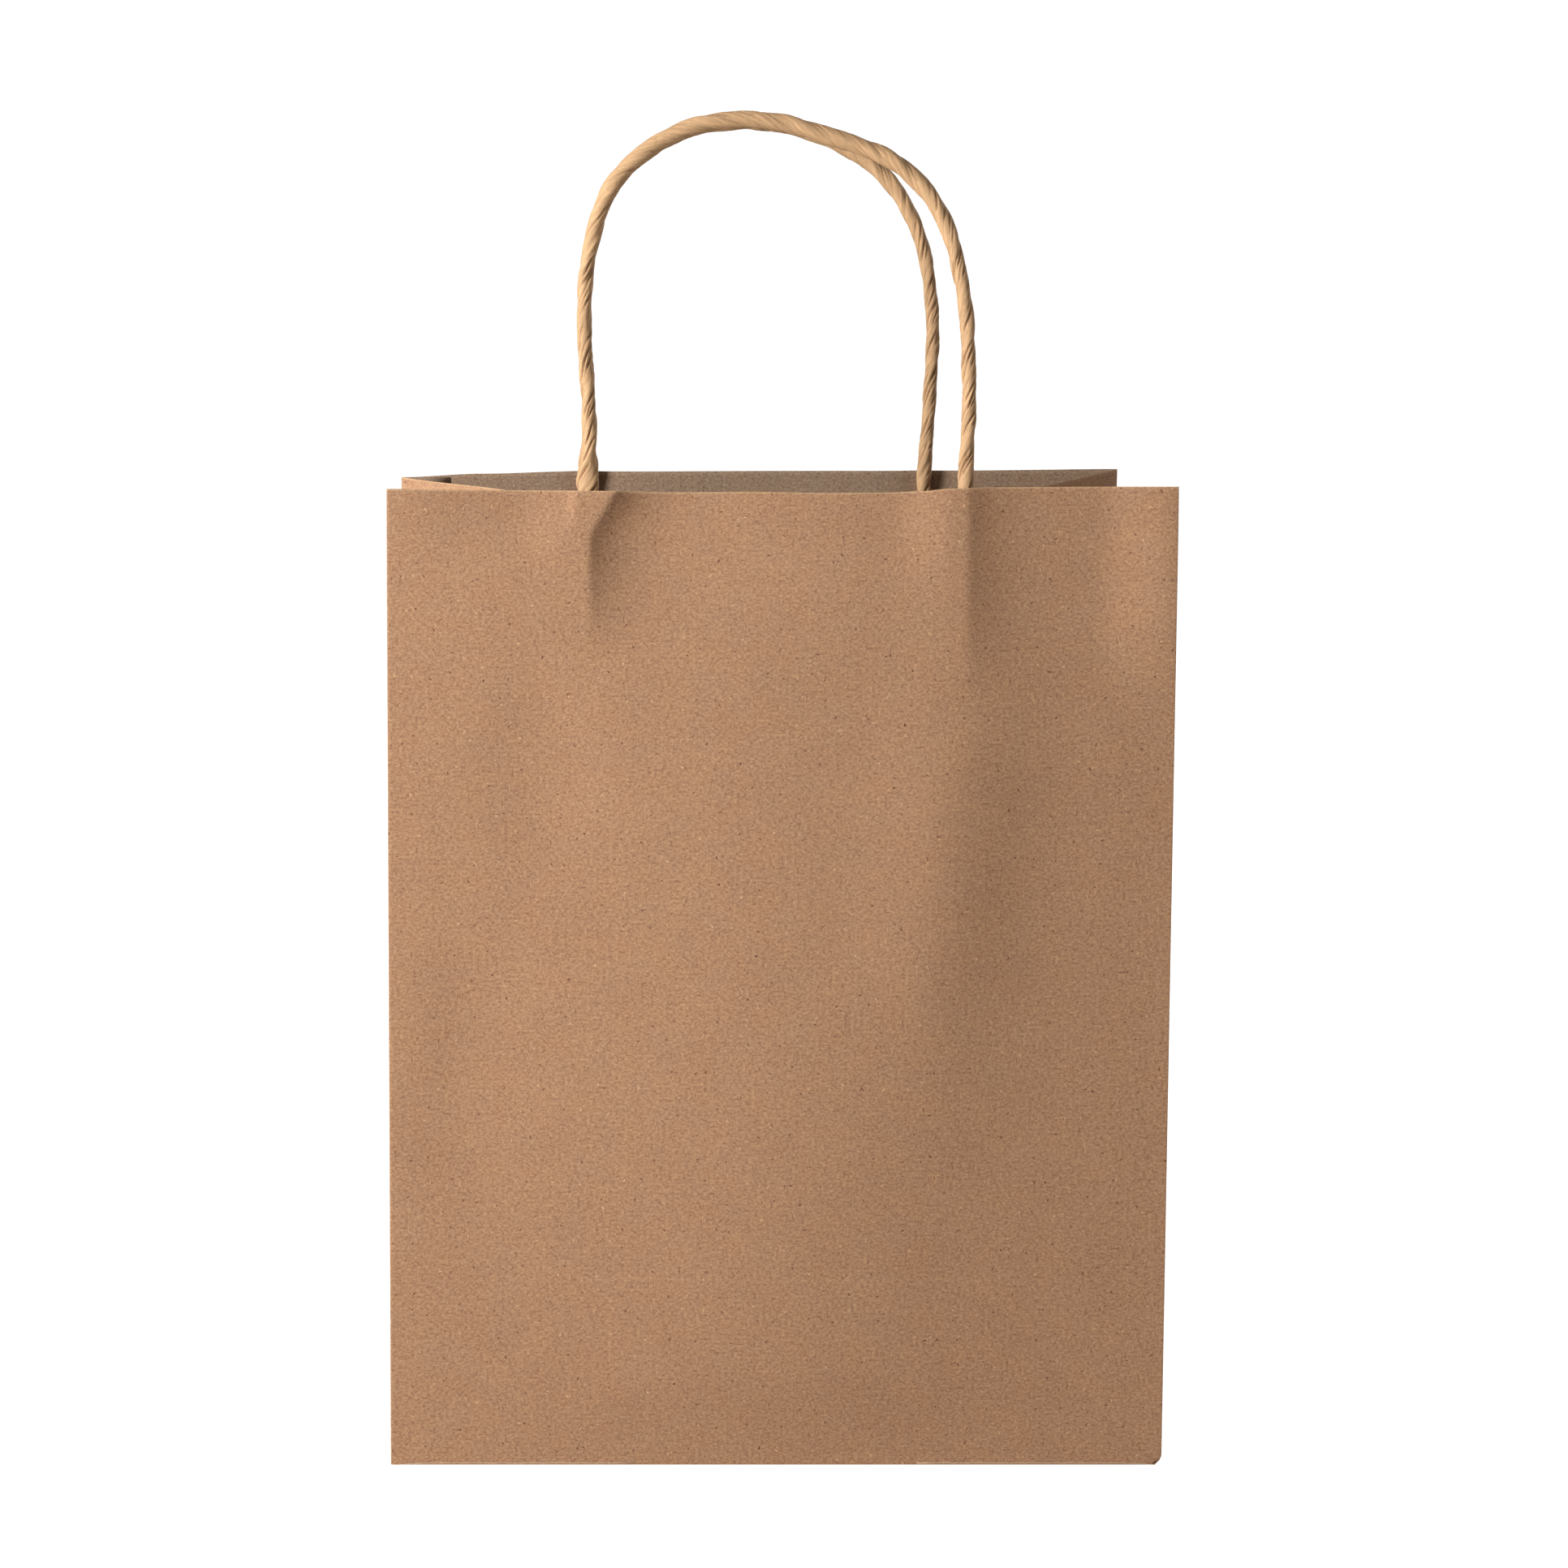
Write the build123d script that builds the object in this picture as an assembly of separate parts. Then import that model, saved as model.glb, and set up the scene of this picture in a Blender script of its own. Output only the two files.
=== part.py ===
from build123d import *

import math
import os

# A paper carrier bag with two twisted paper cord handles, in millimetres.
# The origin is the middle of the base, +Z is up and the front panel faces -Y.

# The folded sheet. Every wall is the same sheet, creased.
BAG_WIDTH = 220.0  # of the front and back panels, corner crease to corner crease
BASE_DEPTH = 110.0  # of the base, and so the full width of each gusset
PANEL_HEIGHT = 278.0  # up a panel, from the base crease to the rim
MOUTH_DEPTH = 84.0  # between the rims of the two panels, as the bag stands
PAPER = 0.2  # thickness of the sheet
CREASE_GAP = 0.4  # left between two walls where the sheet is creased

# The block bottom.
FLAP_OVERLAP = 10.0  # how far the front and back base flaps pass the middle
SIDE_FLAP_REACH = 70.0  # how far a side base flap runs in from its gusset
FLAP_EDGE_GAP = 0.6  # between the base flaps and the walls around them

# The glued seam that closes the tube.
SEAM_WIDTH = 15.0

# A handle patch is two plies of paper with the cord's ends glued between them.
PATCH_DEPTH = 42.0  # from the patch's top edge down to its bottom edge
PATCH_DROP = 7.0  # its top edge is this far under the rim
PATCH_MARGIN = 22.0  # beyond the cord on each side
PATCH_PAPER = 0.2
GLUE = 0.05  # film of glue between two plies, and round a cord's end

# The cord.
CORD = 4.2  # diameter
CORD_GLUED = 31.0  # how far each end reaches under the rim, glued in from the patch's top edge down
CORD_RELIEF = 0.4  # between the cord and the rim that it bends over
BEND_GAP = 0.3  # between the bending cord and its glued end

# The line of each handle in its own plane: across the bag, and up from the
# height where the cord bends.
FRONT_HANDLE = [
    (-54.0, 0.0),
    (-53.4, 19.0),
    (-55.6, 42.0),
    (-54.0, 65.0),
    (-47.0, 84.0),
    (-29.5, 96.5),
    (-9.0, 100.0),
    (13.5, 94.5),
    (34.0, 86.5),
    (45.5, 71.0),
    (50.6, 49.5),
    (52.0, 25.0),
    (51.0, 0.0),
]
BACK_HANDLE = [
    (-52.8, 0.0),
    (-52.4, 21.0),
    (-54.2, 43.5),
    (-52.6, 67.0),
    (-46.5, 84.5),
    (-30.0, 99.0),
    (-6.0, 104.0),
    (18.0, 99.0),
    (37.0, 87.5),
    (47.6, 70.0),
    (52.0, 47.0),
    (51.6, 23.0),
    (50.2, 0.0),
]

HALF_WIDTH = BAG_WIDTH / 2
HALF_BASE = BASE_DEPTH / 2
HALF_MOUTH = MOUTH_DEPTH / 2
PANEL_LEAN = math.asin((HALF_BASE - HALF_MOUTH) / PANEL_HEIGHT)
RIM_HEIGHT = PANEL_HEIGHT * math.cos(PANEL_LEAN)
CORD_RADIUS = CORD / 2
PLY_ONE = PAPER + GLUE  # depth behind the panel's outer face
CORD_DEPTH = PLY_ONE + PATCH_PAPER + GLUE + CORD_RADIUS
PLY_TWO = PLY_ONE + PATCH_PAPER + GLUE
BEND_RISE = CORD_RADIUS + CORD_RELIEF  # the cord bends this far above the rim


def meet_of_circles(centre_a, radius_a, centre_b, radius_b):
    """The crossing of two circles that lies on the left, going from a to b."""
    gap = centre_b - centre_a
    along = (radius_a**2 - radius_b**2 + gap.length**2) / (2 * gap.length)
    across = math.sqrt(radius_a**2 - along**2)
    forward = gap.normalized()
    left = Vector(-forward.Y, forward.X)
    return centre_a + forward * along + left * across


def gusset_profile():
    """The gusset's centre crease in its middle plane, as (inwards, up) points:
    the apex of its foot and the crease's top, with no stretch in the paper."""
    corner_to_apex = math.hypot(HALF_BASE, PANEL_HEIGHT - HALF_BASE)
    rim = Vector(0, RIM_HEIGHT)
    reach = math.sqrt(corner_to_apex**2 - HALF_MOUTH**2)
    apex = meet_of_circles(rim, reach, Vector(0, 0), HALF_BASE)
    fold = math.sqrt(HALF_BASE**2 - HALF_MOUTH**2)
    top = meet_of_circles(rim, fold, apex, PANEL_HEIGHT - HALF_BASE)
    return apex, top


def wall(corners, inside, thickness=PAPER, gap=CREASE_GAP):
    """A flat wall of the sheet with these outer corners, held back from its
    creases, and its thickness on the side where the point inside lies."""
    first = corners[0]
    normal = (corners[1] - first).cross(corners[2] - first).normalized()
    if normal.dot(inside - first) < 0:
        normal = normal * -1
    plane = Plane(origin=first, x_dir=corners[1] - first, z_dir=normal)
    outline = [plane.to_local_coords(corner) for corner in corners]
    face = make_face(Polyline(*[(p.X, p.Y) for p in outline], close=True))
    face = offset(face, amount=-gap, kind=Kind.INTERSECTION)
    return plane * extrude(face, amount=thickness, dir=(0, 0, 1))


def panel(facing):
    """The front panel (facing -1) or the back panel (facing 1)."""
    foot = facing * HALF_BASE
    rim = facing * HALF_MOUTH
    corners = [
        Vector(-HALF_WIDTH, foot, 0),
        Vector(HALF_WIDTH, foot, 0),
        Vector(HALF_WIDTH, rim, RIM_HEIGHT),
        Vector(-HALF_WIDTH, rim, RIM_HEIGHT),
    ]
    return wall(corners, Vector(0, 0, RIM_HEIGHT / 2))


def gusset(side):
    """The five walls of one gusset, by name: side -1 is left and 1 is right."""
    apex_in, top_in = gusset_profile()
    edge = side * HALF_WIDTH
    apex = Vector(edge - side * apex_in.X, 0, apex_in.Y)
    top = Vector(edge - side * top_in.X, 0, top_in.Y)
    middle = Vector(0, 0, RIM_HEIGHT / 2)
    foot = [Vector(edge, facing * HALF_BASE, 0) for facing in (-1, 1)]
    walls = {"foot": wall([foot[0], foot[1], apex], middle)}
    for facing, name in ((-1, "front"), (1, "back")):
        corner = Vector(edge, facing * HALF_BASE, 0)
        rim = Vector(edge, facing * HALF_MOUTH, RIM_HEIGHT)
        walls[f"{name}_outer"] = wall([corner, rim, apex], middle)
        walls[f"{name}_inner"] = wall([rim, top, apex], middle)
    return walls


def base_flap(outline, layer):
    """A flat flap of the block bottom: layer 0 is the outermost."""
    face = make_face(Polyline(*outline, close=True))
    return Pos(0, 0, layer * (PAPER + GLUE)) * extrude(face, amount=PAPER)


def base_flaps():
    """The four flaps that close the bottom, outermost first."""
    across = HALF_WIDTH - FLAP_EDGE_GAP
    edge = HALF_BASE - FLAP_EDGE_GAP
    reach = edge + FLAP_OVERLAP
    flaps = {}
    for layer, (facing, name) in enumerate(((1, "back"), (-1, "front"))):
        outline = [
            (-across, facing * edge),
            (across, facing * edge),
            (across - reach, -facing * FLAP_OVERLAP),
            (reach - across, -facing * FLAP_OVERLAP),
        ]
        flaps[f"{name}_base_flap"] = base_flap(outline, layer)
    for side, name in ((-1, "left"), (1, "right")):
        inner = across - SIDE_FLAP_REACH
        outline = [
            (side * across, -edge),
            (side * across, edge),
            (side * inner, edge),
            (side * inner, -edge),
        ]
        flaps[f"{name}_base_flap"] = base_flap(outline, 2)
    return flaps


def rim_plane(facing):
    """The plane of a panel's outer face, its origin in the middle of the rim:
    x across the bag, y up the panel and z into the bag."""
    rim = Vector(0, facing * HALF_MOUTH, RIM_HEIGHT)
    inwards = Vector(0, -facing * math.cos(PANEL_LEAN), -math.sin(PANEL_LEAN))
    return Plane(origin=rim, x_dir=(facing, 0, 0), z_dir=inwards)


def across(facing, x):
    """A place across the bag, in the rim plane's own direction."""
    return facing * x


def seam_flap():
    """The strip of the left gusset that is glued inside the back panel."""
    low = across(1, -HALF_WIDTH + CREASE_GAP + 2 * PAPER)
    high = across(1, -HALF_WIDTH + CREASE_GAP + 2 * PAPER + SEAM_WIDTH)
    height = PANEL_HEIGHT - 2 * FLAP_EDGE_GAP
    strip = Box(abs(high - low), height, PAPER)
    place = Pos((low + high) / 2, -PANEL_HEIGHT / 2, PLY_ONE + PAPER / 2)
    return rim_plane(1) * (place * strip)


def leg_places(facing, route):
    """Where the two legs of a cord stand, in the rim plane's own direction."""
    return [across(facing, route[0][0]), across(facing, route[-1][0])]


def patch_span(facing, route):
    """The two ends of a patch, in the rim plane's own direction."""
    legs = leg_places(facing, route)
    return min(legs) - PATCH_MARGIN, max(legs) + PATCH_MARGIN


def patch_sheet(facing, route, depth):
    """A flat ply of a patch whose outer face is this deep behind the panel."""
    low, high = patch_span(facing, route)
    ply = Box(high - low, PATCH_DEPTH, PATCH_PAPER)
    drop = -PATCH_DROP - PATCH_DEPTH / 2
    return Pos((low + high) / 2, drop, depth + PATCH_PAPER / 2) * ply


def cord_channel(place, radius):
    """The room that a cord's end takes up behind the first ply."""
    drop = -PATCH_DROP - PATCH_DEPTH / 2
    turned = Rot(90, 0, 0) * Cylinder(radius, PATCH_DEPTH)
    sides = Pos(0, 0, (PLY_TWO - CORD_DEPTH) / 2)
    sides = sides * Box(2 * radius, PATCH_DEPTH, CORD_DEPTH - PLY_TWO)
    return Pos(place, drop, CORD_DEPTH) * (turned + sides)


def patch_cover(facing, route):
    """The inner ply, raised over both ends of the cord."""
    bore = CORD_RADIUS + GLUE
    cover = patch_sheet(facing, route, PLY_TWO)
    for place in leg_places(facing, route):
        cover += cord_channel(place, bore + PATCH_PAPER)
    for place in leg_places(facing, route):
        cover -= cord_channel(place, bore)
    low, high = patch_span(facing, route)
    behind = Box(high - low, 2 * PATCH_DEPTH, PLY_TWO)
    cover -= Pos((low + high) / 2, -PATCH_DEPTH / 2, PLY_TWO / 2) * behind
    return rim_plane(facing) * cover


def glued_ends(facing, route):
    """The two straight ends of a cord, between the plies."""
    top = BEND_RISE - CORD_RADIUS - BEND_GAP
    length = CORD_GLUED + top
    ends = []
    for place in leg_places(facing, route):
        end = Rot(90, 0, 0) * Cylinder(CORD_RADIUS, length)
        ends.append(Pos(place, top - length / 2, CORD_DEPTH) * end)
    return rim_plane(facing) * Compound(children=ends)


def bend_radii(points, diameter):
    """One radius for each inner point: as large as its two runs allow."""
    radii = []
    for before, point, after in zip(points, points[1:], points[2:]):
        turn = math.radians((point - before).get_angle(after - point))
        run = min((point - before).length, (after - point).length)
        radii.append(0.45 * run / math.tan(turn / 2))
        assert radii[-1] >= 5 * diameter, "the cord would kink"
    return radii


def handle(facing, route, name):
    """The cord from where it bends at the rim, over the arch and back."""
    points = [Vector(across(facing, x), BEND_RISE + up) for x, up in route]
    radii = bend_radii(points, CORD)
    line = FilletPolyline(*points, radius=radii)
    start = Plane(origin=line @ 0, z_dir=line % 0)
    tube = sweep(start * Circle(CORD_RADIUS), path=line)
    ratio = tube.volume / (math.pi * CORD_RADIUS**2 * line.length)
    print(f"{name}: line {line.length:.1f} mm, volume ratio {ratio:.4f}")
    print(f"{name}: radii {[round(radius, 1) for radius in radii]}")
    for end in (points[0], points[-1]):
        tube += Pos(end) * Sphere(CORD_RADIUS)
    return rim_plane(facing) * (Pos(0, 0, CORD_DEPTH) * tube)


def build():
    """Every node of the bag, by name."""
    nodes = {"front_panel": panel(-1), "back_panel": panel(1)}
    for side, name in ((-1, "left"), (1, "right")):
        for part, solid in gusset(side).items():
            nodes[f"{name}_gusset_{part}"] = solid
    nodes.update(base_flaps())
    nodes["seam_flap"] = seam_flap()
    for facing, name, route in ((-1, "front", FRONT_HANDLE), (1, "back", BACK_HANDLE)):
        first_ply = rim_plane(facing) * patch_sheet(facing, route, PLY_ONE)
        nodes[f"{name}_patch_backing"] = first_ply
        nodes[f"{name}_patch_cover"] = patch_cover(facing, route)
        nodes[f"{name}_cord_ends"] = glued_ends(facing, route)
        nodes[f"{name}_handle"] = handle(facing, route, f"{name}_handle")
    return nodes


os.makedirs("parts", exist_ok=True)
for node, solid in build().items():
    export_step(solid, f"parts/{node}.step")

bend = rim_plane(-1).from_local_coords(Vector(0, BEND_RISE, CORD_DEPTH))
print(f"front handle bends at y {bend.Y:.3f}, z {bend.Z:.3f}; lean {math.degrees(PANEL_LEAN):.3f}")
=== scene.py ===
"""The finished look of a kraft paper gift bag with twisted paper cord handles."""

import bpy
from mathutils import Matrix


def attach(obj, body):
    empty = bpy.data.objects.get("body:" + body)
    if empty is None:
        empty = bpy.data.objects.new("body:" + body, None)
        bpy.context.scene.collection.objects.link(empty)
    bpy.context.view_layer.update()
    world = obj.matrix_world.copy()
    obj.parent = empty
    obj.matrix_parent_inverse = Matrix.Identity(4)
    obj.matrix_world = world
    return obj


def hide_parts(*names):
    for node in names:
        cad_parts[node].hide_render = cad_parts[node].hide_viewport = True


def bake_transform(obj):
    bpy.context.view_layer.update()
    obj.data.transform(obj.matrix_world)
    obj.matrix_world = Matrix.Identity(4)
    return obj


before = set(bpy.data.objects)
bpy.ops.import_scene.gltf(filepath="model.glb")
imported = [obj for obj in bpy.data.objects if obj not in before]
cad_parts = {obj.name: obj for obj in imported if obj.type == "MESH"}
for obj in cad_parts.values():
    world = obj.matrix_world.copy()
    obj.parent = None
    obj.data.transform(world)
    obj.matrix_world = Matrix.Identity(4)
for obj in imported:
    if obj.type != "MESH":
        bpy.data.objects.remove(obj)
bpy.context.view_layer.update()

import logging
import math
import random
from dataclasses import dataclass, field
from enum import Enum

import bmesh
import bpy
from mathutils import Euler, Vector, noise

LOG = logging.getLogger("gift_bag")
MM = 0.001
FLAT_NAME = "flat"
NUMBER = "NodeSocketFloat"
VECTOR = "NodeSocketVector"


class Facing(Enum):
    """The two panels, by the way that each one faces."""

    FRONT = -1
    BACK = 1

    @property
    def word(self) -> str:
        """The panel's word in a node's name."""
        return self.name.lower()


class Blend(Enum):
    """How a curve of strength falls from full to nothing."""

    SMOOTH = "smooth"
    STRAIGHT = "straight"


def fade(value: float, full: float, nothing: float, blend: Blend = Blend.SMOOTH) -> float:
    """Give a strength that is 1 at one value and 0 at another.

    Args:
        value: The place along the scale.
        full: The value at which the strength is 1.
        nothing: The value at which the strength is 0.
        blend: The shape of the fall between them.

    Returns:
        The strength, from 0 to 1.
    """
    share = min(max((value - nothing) / (full - nothing), 0.0), 1.0)
    if blend is Blend.SMOOTH:
        return share * share * (3 - 2 * share)
    return share


def meet_of_circles(
    centre_a: Vector, radius_a: float, centre_b: Vector, radius_b: float
) -> Vector:
    """Find the crossing of two circles on the left, going from a to b.

    Args:
        centre_a: The first centre.
        radius_a: The first radius.
        centre_b: The second centre.
        radius_b: The second radius.

    Returns:
        The crossing point.
    """
    gap = centre_b - centre_a
    along = (radius_a**2 - radius_b**2 + gap.length**2) / (2 * gap.length)
    forward = gap.normalized()
    left = Vector((-forward.y, forward.x))
    return centre_a + forward * along + left * math.sqrt(radius_a**2 - along**2)


# ---------------------------------------------------------------- the sizes


@dataclass(frozen=True)
class BagSizes:
    """The bag's sizes in metres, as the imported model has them."""

    width: float = 0.220
    base_depth: float = 0.110
    panel_height: float = 0.278
    mouth_depth: float = 0.084
    paper: float = 0.0002
    glue: float = 0.00005
    seam_width: float = 0.015
    flap_overlap: float = 0.010
    flap_edge_gap: float = 0.0006
    side_flap_reach: float = 0.070
    patch_depth: float = 0.042
    patch_drop: float = 0.007
    patch_margin: float = 0.022
    cord: float = 0.0042
    cord_glued: float = 0.031
    cord_relief: float = 0.0004

    @property
    def half_width(self) -> float:
        """Half the width of a panel."""
        return self.width / 2

    @property
    def half_base(self) -> float:
        """Half the depth of the base, and so half a gusset."""
        return self.base_depth / 2

    @property
    def half_mouth(self) -> float:
        """Half the distance between the two rims."""
        return self.mouth_depth / 2

    @property
    def lean(self) -> float:
        """The angle by which each panel leans in."""
        return math.asin((self.half_base - self.half_mouth) / self.panel_height)

    @property
    def rim_height(self) -> float:
        """The height of the rim above the base."""
        return self.panel_height * math.cos(self.lean)

    @property
    def ply_one(self) -> float:
        """How deep the patch's backing starts behind the panel's outer face."""
        return self.paper + self.glue

    @property
    def ply_two(self) -> float:
        """How deep the patch's cover starts."""
        return self.ply_one + self.paper + self.glue

    @property
    def cord_depth(self) -> float:
        """How deep the cord's centre lies behind the panel's outer face."""
        return self.ply_two + self.cord / 2

    @property
    def bend_rise(self) -> float:
        """How far above the rim the cord bends."""
        return self.cord / 2 + self.cord_relief

    def gusset_profile(self) -> tuple[Vector, Vector]:
        """Find a gusset's centre crease in the bag's middle plane.

        Returns:
            The apex of the gusset's foot and the crease's top, each as
            (distance in from the side, height).
        """
        upper = self.panel_height - self.half_base
        reach = math.sqrt(self.half_base**2 + upper**2 - self.half_mouth**2)
        rim = Vector((0, self.rim_height))
        apex = meet_of_circles(rim, reach, Vector((0, 0)), self.half_base)
        fold = math.sqrt(self.half_base**2 - self.half_mouth**2)
        return apex, meet_of_circles(rim, fold, apex, upper)

    def behind_rim(self, facing: Facing, x: float, up: float, depth: float) -> Vector:
        """Place a point from the rim of a panel.

        Args:
            facing: Which panel.
            x: The place across the bag.
            up: The distance up the panel from the rim, less than 0 below it.
            depth: The depth behind the panel's outer face.

        Returns:
            The point in the bag's own frame.
        """
        side = facing.value
        sine, cosine = math.sin(self.lean), math.cos(self.lean)
        y = side * (self.half_mouth - up * sine - depth * cosine)
        return Vector((x, y, self.rim_height + up * cosine - depth * sine))


# ------------------------------------------------------- dents in the paper


@dataclass(frozen=True)
class CordRidge:
    """The bulge that a glued cord end makes in its panel, creased beside it.

    Lengths are in metres and depths are how far the paper sinks beside it.
    """

    place: float
    crest_shift: float = 0.0
    shift_length: float = 0.013
    near_depth: float = 0.0005
    near_offset: float = 0.0035
    near_width: float = 0.004
    near_reach: float = 0.025
    near_length: float = 0.014
    far_depth: float = 0.0011
    far_width: float = 0.009
    far_spread: float = 0.25
    far_soft: float = 0.0
    far_hold: float = 0.0
    full_length: float = 0.024
    whole_length: float = 0.048

    def depth(self, x: float, drop: float) -> float:
        """Give how far the paper sinks at a place.

        Args:
            x: The place across the bag.
            drop: The distance below the rim.

        Returns:
            The depth in metres, 0 over the cord itself.
        """
        crest = self.place + self.crest_shift * fade(drop, 0, self.shift_length, Blend.STRAIGHT)
        past = x - crest
        if past > 0:
            width = self.far_width + self.far_spread * drop
            share = (math.hypot(past, self.far_soft) - self.far_soft) / width
            hollow = share * math.exp(1 - share)
            held = 1 - math.exp(-share * math.e)
            sink = hollow + (held - hollow) * self.far_hold
            return self.far_depth * sink * fade(drop, self.full_length, self.whole_length)
        edge = self.place - self.near_offset - x
        sink = fade(edge, self.near_width, 0) * math.exp(-((max(edge, 0) / self.near_reach) ** 2))
        return self.near_depth * sink * fade(drop, self.near_length * 0.4, self.near_length * 1.6)


@dataclass(frozen=True)
class SoftWave:
    """A broad shallow rise in a panel, in metres."""

    x: float
    drop: float
    half_width: float
    half_height: float
    rise: float
    turn: float = 0.0

    def depth(self, x: float, drop: float) -> float:
        """Give how far the paper sinks, less than 0 where it rises.

        Args:
            x: The place across the bag.
            drop: The distance below the rim.

        Returns:
            The depth in metres.
        """
        across, down = x - self.x, drop - self.drop
        cosine, sine = math.cos(self.turn), math.sin(self.turn)
        a = (across * cosine + down * sine) / self.half_width
        b = (down * cosine - across * sine) / self.half_height
        return -self.rise * math.exp(-a * a - b * b)


@dataclass(frozen=True)
class PanelRelief:
    """Every dent and wave of one panel."""

    sizes: BagSizes
    ridges: tuple[CordRidge, ...]
    waves: tuple[SoftWave, ...]
    ripple: float = 0.00018
    ripple_length: float = 0.045
    edge_reach: float = 0.022
    foot_reach: float = 0.030
    seed: float = 0.0

    def depth(self, x: float, drop: float) -> float:
        """Give how far the panel's paper lies behind its flat plane.

        Args:
            x: The place across the bag.
            drop: The distance below the rim.

        Returns:
            The depth in metres.
        """
        total = sum(ridge.depth(x, drop) for ridge in self.ridges)
        total += sum(wave.depth(x, drop) for wave in self.waves)
        place = Vector((x, drop, self.seed)) / self.ripple_length
        total += self.ripple * noise.noise(place)
        half, height = self.sizes.half_width, self.sizes.panel_height
        edge = fade(abs(x), half - self.edge_reach, half)
        foot = fade(drop, height - self.foot_reach, height)
        return total * edge * foot


@dataclass(frozen=True)
class RimLine:
    """The height of the cut rim above its true height, round the bag.

    The marks are (place along the blank, rise) pairs in millimetres.
    """

    reach: float = 0.030
    marks: tuple[tuple[float, float], ...] = (
        (-235, -2.0), (-220, -2.0), (-165, -0.6), (-110, 0.0), (-70, -0.45),
        (-50, -0.55), (-30, -1.05), (-8, -0.9), (12, -1.2), (28, -1.1),
        (38, -0.7), (47, 0.1), (58, 0.4), (110, 0.6), (165, 0.0),
        (220, 0.5), (300, 0.0), (385, -0.1), (415, -0.9), (440, -2.0),
    )

    def rise(self, u: float, below: float) -> float:
        """Give how far a point near the rim is raised.

        Args:
            u: The place along the blank, in metres.
            below: The distance below the rim.

        Returns:
            The rise in metres, which fades out below the rim.
        """
        place = u / MM
        for (a, low), (b, high) in zip(self.marks, self.marks[1:]):
            if place <= b:
                share = fade(place, b, a)
                return (low + (high - low) * share) * MM * fade(below, 0, self.reach)
        return 0.0


# ------------------------------------------------------------ mesh helpers


def new_piece(
    name: str, mesh_source: bmesh.types.BMesh, *materials: bpy.types.Material
) -> bpy.types.Object:
    """Make an object from a bmesh, which is freed.

    Args:
        name: The piece's name.
        mesh_source: The finished bmesh.
        materials: The materials of its slots, in order.

    Returns:
        The new object, at the origin.
    """
    mesh = bpy.data.meshes.new(name)
    mesh_source.to_mesh(mesh)
    mesh_source.free()
    for material in materials:
        mesh.materials.append(material)
    piece = bpy.data.objects.new(name, mesh)
    bpy.context.scene.collection.objects.link(piece)
    return piece


def give_thickness(piece: bpy.types.Object, thickness: float) -> None:
    """Give a sheet its thickness on its inner side, with a cut edge.

    Args:
        piece: The sheet, with the finish of its cut edge in the second slot
            and of its inner side in the third.
        thickness: The paper's thickness in metres.
    """
    solid = piece.modifiers.new("thickness", "SOLIDIFY")
    solid.thickness = thickness
    solid.offset = -1.0
    solid.use_even_offset = False
    solid.use_rim = True
    solid.material_offset = 2
    solid.material_offset_rim = 1


def flat_grid(
    low: tuple[float, float], high: tuple[float, float], columns: int, rows: int
) -> bmesh.types.BMesh:
    """Make a flat grid of even cells.

    Args:
        low: The lowest corner.
        high: The highest corner.
        columns: Cells across.
        rows: Cells up.

    Returns:
        The grid in the XY plane, facing +Z.
    """
    mesh = bmesh.new()
    bmesh.ops.create_grid(mesh, x_segments=columns, y_segments=rows, size=0.5)
    span = Vector((high[0] - low[0], high[1] - low[1], 1.0))
    centre = Vector(((high[0] + low[0]) / 2, (high[1] + low[1]) / 2, 0.0))
    bmesh.ops.scale(mesh, verts=mesh.verts, vec=span)
    bmesh.ops.translate(mesh, verts=mesh.verts, vec=centre)
    return mesh


def keep_flat_map(mesh: bmesh.types.BMesh) -> None:
    """Store each corner's place on the flat blank as the UV map, in metres.

    Args:
        mesh: The sheet, still flat.
    """
    layer = mesh.loops.layers.uv.new(FLAT_NAME)
    for face in mesh.faces:
        for loop in face.loops:
            loop[layer].uv = loop.vert.co.xy


# --------------------------------------------------------- the folded sheet


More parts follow.
